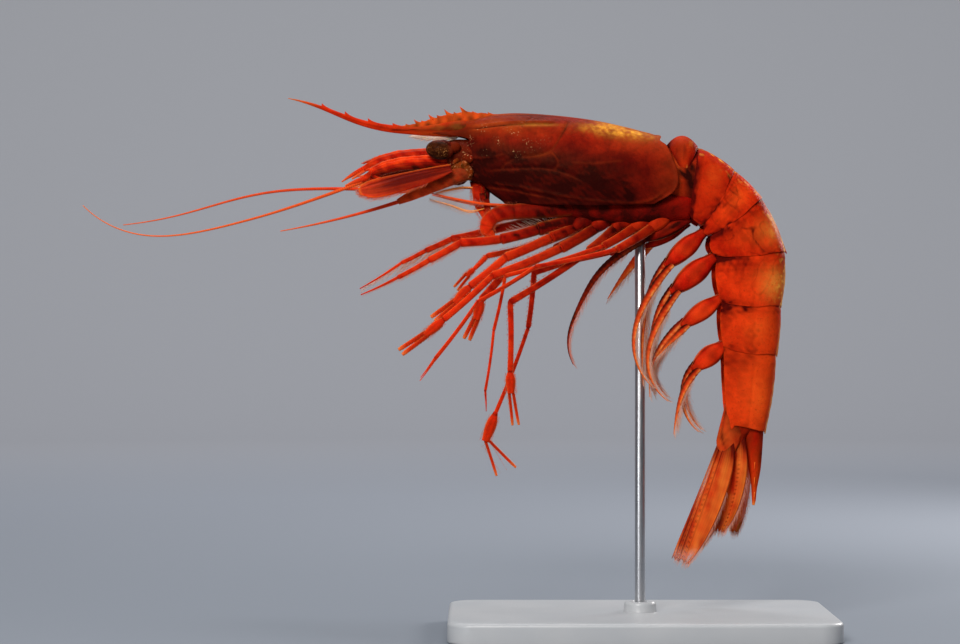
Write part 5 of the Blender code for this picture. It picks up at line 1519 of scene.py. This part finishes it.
fanRoll = 62  # how far the blades stand on edge
fanBlades = {
    ("Outer", left): dict(root=(20.8, 1.9, 47.6), length=32.8, pitch=250.8, lean=8, half=3.8, bend=0.03),
    ("Outer", right): dict(root=(22.2, 1.9, 47.6), length=29.4, pitch=255.5, lean=10, half=3.8, bend=0.03),
    ("Inner", left): dict(root=(22.7, 1.0, 47.6), length=23.8, pitch=260.5, lean=4, half=4.7, bend=0.02),
    ("Inner", right): dict(root=(24.7, 1.2, 45.6), length=22.2, pitch=266, lean=5, half=3.2, bend=0.02),
}
fanOutlines = {
    "Outer": ([0.4, 0.44, 0.48, 0.52, 0.56, 0.61, 0.66, 0.71, 0.76, 0.8, 0.8],
              [0.4, 0.8, 1.05, 1.16, 1.2, 1.2, 1.15, 1.05, 0.9, 0.68, 0.36]),
    "Inner": ([0.5, 0.7, 0.86, 0.95, 1.0, 1.0, 0.96, 0.88, 0.76, 0.58, 0.3],
              [0.5, 0.7, 0.86, 0.95, 1.0, 1.0, 0.96, 0.88, 0.76, 0.58, 0.3]),
}


def fanTint(which, hand, surface, s, places):
    outermost = which == "Outer"
    away = np.abs(places)
    patchy, fine = waves(places * 7 + 0 * s, s * 9, 0 * s, 1.5, 8), wavesOn(surface, 0.5, 18)
    if outermost:
        rib = bell(places, 0.78, 0.035) + bell(places, 0.38, 0.035) + 0.6 * bell(places, -0.1, 0.03)
        dotRows = bell(places, 0.16, 0.03) + bell(places, 0.04, 0.03) + bell(places, 0.6, 0.03)
        grey = 0.95 * bell(places, 0.74, 0.26) * bell(s, 0.36, 0.2) + 0.9 * rise(s, 0.86, 0.97)
        grey = grey + 0.3 * bell(places, -0.7, 0.3)
    else:
        rib = 0.5 * bell(places, 0.0, 0.05)
        dotRows = bell(places, 0.55, 0.05) + bell(places, -0.55, 0.05)
        grey = 0.6 * rise(away, 0.6, 0.95) * rise(s, 0.1, 0.5) + (0.1 if hand == right else 0.0)
    dots = (np.sin(s * 150) > 0.4) * dotRows * rise(s, 0.2, 0.35)
    dark = 0.95 * rib * (1 - 0.3 * rise(s, 0.85, 1.0)) + 0.8 * dots + 0.8 * (1 - rise(s, 0.05, 0.3))
    dark = dark + 0.45 * np.clip(-patchy, 0, 1) + 0.12 * np.sin(places * 60 + 2 * np.sin(s * 7))
    dark = dark + 0.4 * rise(s, 0.975, 1.0) * (fine > 0) + 0.8 * rise(away, 0.965, 1.0)
    edging = 0.3 * bell(places, 0.58, 0.16) * rise(s, 0.5, 0.8) if outermost else 0.25 * bell(s, 0.9, 0.1)
    dark = (dark + edging) * (0.45 if which == "Inner" and hand == right else 1.0)
    glow = 0.25 + 0.4 * patchy + 0.25 * fine + 0.2 * rise(away, 0.75, 0.98)
    glow = glow + 0.3 * rise(s, 0.4, 0.9) + 0.7 * grey
    clear = (0.95 * grey * (0.75 + 0.3 * patchy) + 0.1 * rise(s, 0.3, 1.0)) * (1 - rise(away, 0.93, 0.97))
    return tinted(patchy.shape, dark, glow, clear)


def heelPart(hand):
    # the foot that carries an outer blade
    heel = sectionGrid([
        (26.4, 54.5, 20.4, 55.5, 0.7), (25.2, 50.8, 19.5, 52.0, 0.9), (24.2, 47.6, 18.6, 48.4, 0.9),
        (23.4, 45.2, 18.1, 46.0, 0.75), (22.6, 43.6, 18.4, 44.3, 0.6), (21.6, 42.6, 19.4, 43.2, 0.3)],
        squareness=0.7)
    heel += (0.0 if hand == left else 1.8, hand * 2.6, 0.0)
    x, z = heel[..., 0], heel[..., 2]
    mottle, crumbs = wavesOn(heel, 1.0, 71), wavesOn(heel, 0.4, 73)
    fold = nearLine(x, z, [(20.6, 54.0), (19.6, 50.0), (19.4, 46.6), (20.4, 43.6)], 0.25)
    dark = 0.2 + 0.5 * rise(x + 0.4 * (z - 48), 20.5, 24.0) + 0.35 * mottle + 0.15 * crumbs + 0.5 * fold
    return tintedPart(heel, dark, 0.3 + 0.3 * mottle, 0.0, 0.3)


def buildFanBlade(which, hand, look):
    outermost = which == "Outer"
    ribs = [(0.78, 0.2, 0.06), (0.38, 0.26, 0.06), (-0.1, 0.16, 0.05)] if outermost else [(0.0, 0.25, 0.08)]
    outer, inner, surface, s, places, direction, _ = bladePart(
        **look, hand=hand, roll=fanRoll, outline=fanOutlines[which], thick=0.22, camber=0.08, ribs=ribs,
        ragged=1.2 if outermost else 1.0, seed=3 + hand)
    parts = [platePart(outer, inner, fanTint(which, hand, surface, s, places))]
    if outermost:
        parts.append(heelPart(hand))
    sidePiece(f"Tail{which}", hand, parts, "fin")
    # fringes along the blade's long edges and its end
    columns = [(0, 1.6, 130)] if outermost else [(0, 1.8, 100), (bladeDetail["columns"] - 1, 1.4, 100)]
    for column, length, count in columns:
        bladeFringe(surface, column, count, length, 0.0351, 0.3, 0.99, forward=1.8, seed=140 + column + hand,
                    pale=0.35)
    tipFringe(surface, -5, direction, 80, 1.6, 0.0351, 0.02, 0.98, seed=150 + hand, pale=0.35)


def buildTailRoot():
    # the joint under the last shell that carries the fan
    block = sectionGrid([
        (30.0, 53.0, 21.6, 53.5, 3.6), (29.0, 50.4, 20.4, 50.8, 3.6), (26.2, 47.6, 20.2, 48.0, 3.2),
        (24.8, 45.4, 21.0, 45.4, 2.4), (24.6, 41.6, 22.2, 41.6, 1.2)])
    makePiece("TailRoot", [tintedPart(block, 0.55 + 0.3 * wavesOn(block, 0.9, 33), 0.15, 0, 0.3)], "shell")


for (which, hand), look in fanBlades.items():
    buildFanBlade(which, hand, look)
buildTailRoot()
print("abdomen, telson and tail fan built")


# swimming legs: broad stalks, each with one or two long branches fringed with bristles

# root, spacing, stalk as (length, pitch, lean, half depth), branches as (length, pitches, leans, half depth)
swimmers = {
    (1, left): ((12.4, 99.2), 2.9, (13.0, 204, 2, 1.65), [(38.4, [206, 218, 240, 252, 298], [8, 2, 0], 0.8)]),
    (1, right): ((12.4, 98.4), 2.9, (12.4, 209, 2, 1.5), [(16.6, [226, 238], [6], 1.0)]),
    (2, left): ((15.4, 96.2), 3.6, (12.6, 221, 6, 2.3),
                [(33.4, [226, 254, 318], [6, 4, 0], 0.8), (31.4, [233, 263, 274], [-5, -2, 0], 0.7)]),
    (2, right): ((15.4, 96.2), 3.6, (12.6, 223, 6, 2.3),
                 [(31.0, [228, 256, 308], [5, 3, 0], 0.75), (30.4, [233, 266, 276], [-5, -2, 0], 0.65)]),
    (3, left): ((18.0, 90.3), 3.4, (13.6, 219, 5, 2.6),
                [(29.9, [230, 256, 324], [8, 4, 0], 0.8), (28.0, [232, 262, 272], [-5, -2, 0], 0.7)]),
    (3, right): ((18.0, 90.3), 3.4, (13.4, 221, 5, 2.6),
                 [(28.0, [232, 259, 314], [7, 4, 0], 0.75), (27.4, [232, 264, 276], [-5, -2, 0], 0.65)]),
    (4, left): ((19.8, 80.6), 3.2, (12.2, 215, 4, 2.1),
                [(11.0, [221, 229], [10], 0.7), (19.8, [222, 240, 288], [-4, -2, 0], 0.75)]),
    (4, right): ((19.8, 80.6), 3.2, (12.2, 217, 4, 2.1),
                 [(18.4, [222, 240, 274], [16, 10], 0.6), (19.2, [226, 242, 284], [-4, -2, 0], 0.7)]),
    (5, left): ((20.6, 69.4), 3.0, (10.2, 217, 4, 2.3),
                [(17.4, [222, 252, 264], [8, 4], 0.75), (18.4, [230, 272, 320], [-3, -2, 0], 0.7)]),
    (5, right): ((20.6, 69.4), 3.0, (10.0, 220, 4, 2.3),
                 [(16.0, [224, 254, 268], [8, 4], 0.7), (17.4, [234, 276, 316], [-3, -2, 0], 0.65)]),
}


def swimmerStalk(number, hand, root, end, half):
    shares = np.linspace(0, 1, 44)
    s = shares[:, None]
    deep = throughPoints([0.5, 0.62, 0.84, 1.0, 1.04, 0.98, 0.84, 0.62, 0.35], shares) * half
    wide = throughPoints([0.9, 1.1, 1.35, 1.5, 1.5, 1.35, 1.1, 0.8, 0.5], shares) * (0.62 + 0.14 * half)
    grid = tubeGrid(root + (end - root) * s, wide, deep, 36, 0.9)
    angle = ringAngles(36)
    upright = np.abs(np.sin(angle))
    mottle = wavesOn(grid, 1.1, 61)
    strands = waves(12 * s + 0 * angle, 7 * angle + 0 * s, 0 * mottle, 2.4, 63)
    front = number < 4
    dark = 0.3 * (1 - rise(s, 0, 0.3)) + 0.4 * bell(s, 0.92, 0.08) + 0.45 * bell(upright, 0.85, 0.12)
    dark = dark + 0.25 * np.clip(-mottle, 0, 1) + 0.12 * front
    # the first left stalk is darkened further as painted shade
    dark = dark + (0.3 if front else 0.2) * np.clip(strands, 0, 1) + 0.55 * (number == 1 and hand == left)
    core = bell(s, 0.5, 0.24) * np.cos(angle) ** 2
    # painted rim highlights at the upper and lower edges
    glow = 0.5 * upright ** 12 + 0.3 * core + 0.2 * mottle + (0.0 if front else 0.2)
    return tintedPart(grid, dark, glow, 0.45 * upright ** 24 * (0.7 + 0.5 * mottle), 0.3)


def swimmerBranch(start, number, hand, k, reach, pitches, leans, thick):
    # a tapering ribbon: its front edge is dark red, the middle orange and the rear half pale and golden,
    # mostly as a painted highlight
    steps = int(reach * 9)
    line = sweep(start, hand, reach, pitches, leans, steps)
    shares = np.linspace(0, 1, steps + 1)
    s, across = shares[:, None], np.sin(ringAngles(16))
    beat = np.sin(shares * reach * 5.2)
    deep = spread([1.0, 1.2, 1.02, 0.76, 0.52, 0.3, 0.07], shares) * thick * (1 + 0.04 * beat)
    ribbon = tubeGrid(line, deep * 0.42 + 0.05, deep, 16)
    glint = wavesOn(ribbon, 0.5, 62)
    # painted shade darkens the first left one, and painted light makes the first right one bright and golden
    shaded, goldAndPaintedLight = number == 1 and hand == left, number == 1 and hand == right
    lightness = 0.25 if shaded else 1.0
    dark = 0.85 * rise(-across, -0.1, 0.75) * (1 - 0.35 * s) + 0.14 * (0.5 + 0.5 * beat[:, None])
    dark = dark + 0.25 * (1 - rise(s, 0.05, 0.3)) + 0.7 * shaded
    glow = 0.15 + 0.65 * bell(across, 0.25, 0.55) * (0.6 + 0.4 * s) + 0.15 * glint
    pale = 0.8 * bell(across, 0.35 if k else 0.65, 0.34) * (0.6 + 0.6 * glint) + 0.3 * s ** 2
    up = framesAlong(line)[2]
    edge = line + up * (deep * 0.9)[:, None]
    fringe(edge, up, int(reach * 7.5), 2.6, 0.0297, 0.15, forward=2.2, taper=0.35,
           seed=201 + number * 8 + 2 * k + hand, pale=0.15 if shaded else 0.5)
    return tintedPart(ribbon, dark * (0.35 if goldAndPaintedLight else 1.0), glow * lightness + 0.4 * goldAndPaintedLight,
                      pale * lightness ** 2)


def buildSwimmer(number, hand, place, spacing, stalk, branches):
    length, pitch, lean, half = stalk
    direction = heading(pitch, lean, hand)
    root = np.array((place[0], hand * spacing, place[1])) + direction * 0.4
    end = root + direction * (length - 0.4)
    parts = [swimmerStalk(number, hand, root, end, half), jointPart(end - direction * 0.5, half * 0.42, 0.5)]
    apart = (np.array([0, hand * 0.6, 0]) + crossAxes(direction)[1] * (half * 0.7)) * (len(branches) - 1)
    for k, branch in enumerate(branches):
        parts.append(swimmerBranch(end - direction * 1.2 + apart * (0.5 - k), number, hand, k, *branch))
    sidePiece(f"Swimmer{number}", hand, parts, "limb")


for (number, hand), look in swimmers.items():
    buildSwimmer(number, hand, *look)
print("swimming legs built")

perPiece = 12
for k in range(math.ceil(len(coat) / perPiece)):
    makePiece(f"Bristles{k + 1}", coat[k * perPiece:(k + 1) * perPiece], "seta")
print("bristles:", sum(len(part["quads"]) * 2 for part in coat), "faces in all")


# stand: a satin acrylic base with rounded edges, a boss and a brushed rod

standLook = dict(length=92.0, width=54.0, height=5.0, corner=6.0, lowRound=0.4, topRound=1.0, rodRadius=1.25)


def buildStand():
    look = standLook
    turn = ringAngles(96)
    x, y = (np.sign(wave) * (size / 2 - look["corner"]) + look["corner"] * wave
            for wave, size in ((np.cos(turn), look["length"]), (np.sin(turn), look["width"])))
    rows = [(look["lowRound"] * (1 - math.sin(a)), look["lowRound"] * (1 - math.cos(a)))
            for a in np.linspace(0, np.pi / 2, 6)]
    rows += [(look["topRound"] * (1 - math.cos(a)), look["height"] - look["topRound"] * (1 - math.sin(a)))
             for a in np.linspace(0, np.pi / 2, 12)]
    rows.sort(key=lambda row: row[1])
    base = np.array([np.stack([x * (1 - 2 * inset / look["length"]), y * (1 - 2 * inset / look["width"]),
                               0 * x + height], -1) for inset, height in rows])
    boss = turnedGrid([(4.0, 4.6), (4.0, 5.0), (3.9, 5.2), (3.85, 6.6), (3.75, 7.1), (3.4, 7.4), (1.8, 7.4),
                       (1.7, 7.3), (1.7, 7.0)], 64)
    makePiece("StandBase", [gridPart(base), gridPart(boss)], "acrylic", ["stand_base"], crease=40)
    rod = turnedGrid([(look["rodRadius"], 6.8), (look["rodRadius"], 98.6), (1.1, 99.0)], 64)
    makePiece("StandRod", [gridPart(rod)], "steel", ["stand_rod"], crease=40)


buildStand()
print("stand built")


# plain studio: a round sweep of pale paper, soft lights and the camera

sweepLook = dict(floor=1050, bend=400, rim=560, turns=96, shades=[
    (0.02, (0.200, 0.225, 0.265)), (0.25, (0.285, 0.304, 0.348)), (0.5, (0.352, 0.354, 0.382)),
    (1.0, (0.355, 0.357, 0.376))])
target = (-25.0, 0.0, 85.0)
lights = [  # name, place, aim, size, power, colour
    ("KeyLight", (-190, -560, 400), target, (260, 180), 4.0, (1.0, 0.97, 0.93)),
    ("TopLight", (20, 40, 620), target, (420, 90), 1.1, (0.97, 0.98, 1.0)),
    ("RearLight", (330, 330, 260), target, (160, 160), 1.3, (1.0, 0.97, 0.94)),
    ("FillLight", (-420, -560, 20), target, (300, 300), 0.9, (0.93, 0.96, 1.0)),
    ("SweepLight", (-40, 700, 1000), (0, 1200, 200), (1100, 300), 9.0, (0.96, 0.98, 1.0)),
]
skyLook = dict(Color=(0.80, 0.86, 0.95, 1), Strength=0.16)
cameraLook = dict(place=(-38.4, -640, 74.4), lens=100, sensor=36, near=0.01, far=20)


def paperMaterial():
    # the paper lightens outwards and up the wall, so that the whole background reads as one even tone
    material, shader, where = startMaterial("sweep")
    x, y, z = addNode(where.id_data, "ShaderNodeSeparateXYZ", Vector=where).outputs
    squares = summed(product(x, x), product(y, y))
    along = summed(calculate("POWER", squares, 0.5), product(z, 1.5))
    ramp = addNode(where.id_data, "ShaderNodeValToRGB", Fac=product(along, 0.5, True))
    stops = ramp.color_ramp.elements
    stops.remove(stops[1])
    for k, (position, shade) in enumerate(sweepLook["shades"]):
        stop = stops.new(position) if k else stops[0]
        stop.position, stop.color = position, (*shade, 1)
    fill(shader, Base_Color=ramp.outputs[0], Roughness=0.9)
    return material


def buildSweep():
    look = sweepLook
    profile = [(350, 0), (700, 0), (look["floor"], 0)]
    for angle in np.linspace(0, np.pi / 2, 16)[1:]:
        profile.append((look["floor"] + look["bend"] * math.sin(angle), look["bend"] * (1 - math.cos(angle))))
    profile.append((look["floor"] + look["bend"], look["rim"]))
    turns = look["turns"]
    points = np.vstack([(0, 0, 0), turnedGrid(profile, turns).reshape(-1, 3)])
    faces = []
    for k in range(turns):
        near, far = 1 + k, 1 + (k + 1) % turns
        faces.append((0, near, far))
        for step in range(0, (len(profile) - 1) * turns, turns):
            faces.append((near + step, near + step + turns, far + step + turns, far + step))
    mesh = bpy.data.meshes.new("Sweep")
    mesh.from_pydata((points * mm).tolist(), [], faces)
    mesh.shade_smooth()
    mesh.materials.append(paperMaterial())
    sweepObject = bpy.data.objects.new("Sweep", mesh)
    bpy.context.scene.collection.objects.link(sweepObject)


def addLight(name, place, aim, size, power, colour):
    data = bpy.data.lights.new(name, "AREA")
    data.shape = "RECTANGLE"
    data.size, data.size_y = size[0] * mm, size[1] * mm
    data.energy, data.color = power, colour
    light = bpy.data.objects.new(name, data)
    light.location = [value * mm for value in place]
    light.visible_camera = False
    away = np.array(place, float) - np.array(aim)
    light.rotation_euler = (math.acos(away[2] / np.linalg.norm(away)), 0, math.atan2(away[0], -away[1]))
    bpy.context.scene.collection.objects.link(light)


def buildStudio():
    scene = bpy.context.scene
    scene.world = bpy.data.worlds.new("studio")
    scene.world.use_nodes = True
    fill(scene.world.node_tree.nodes["Background"], **skyLook)
    buildSweep()
    for light in lights:
        addLight(*light)
    camera = bpy.data.cameras.new("Camera")
    camera.lens, camera.sensor_width = cameraLook["lens"], cameraLook["sensor"]
    camera.clip_start, camera.clip_end = cameraLook["near"], cameraLook["far"]
    scene.camera = bpy.data.objects.new("Camera", camera)
    scene.camera.location = [value * mm for value in cameraLook["place"]]
    scene.camera.rotation_euler = (math.pi / 2, 0, 0)
    scene.collection.objects.link(scene.camera)
    scene.view_settings.view_transform = "Standard"


buildStudio()
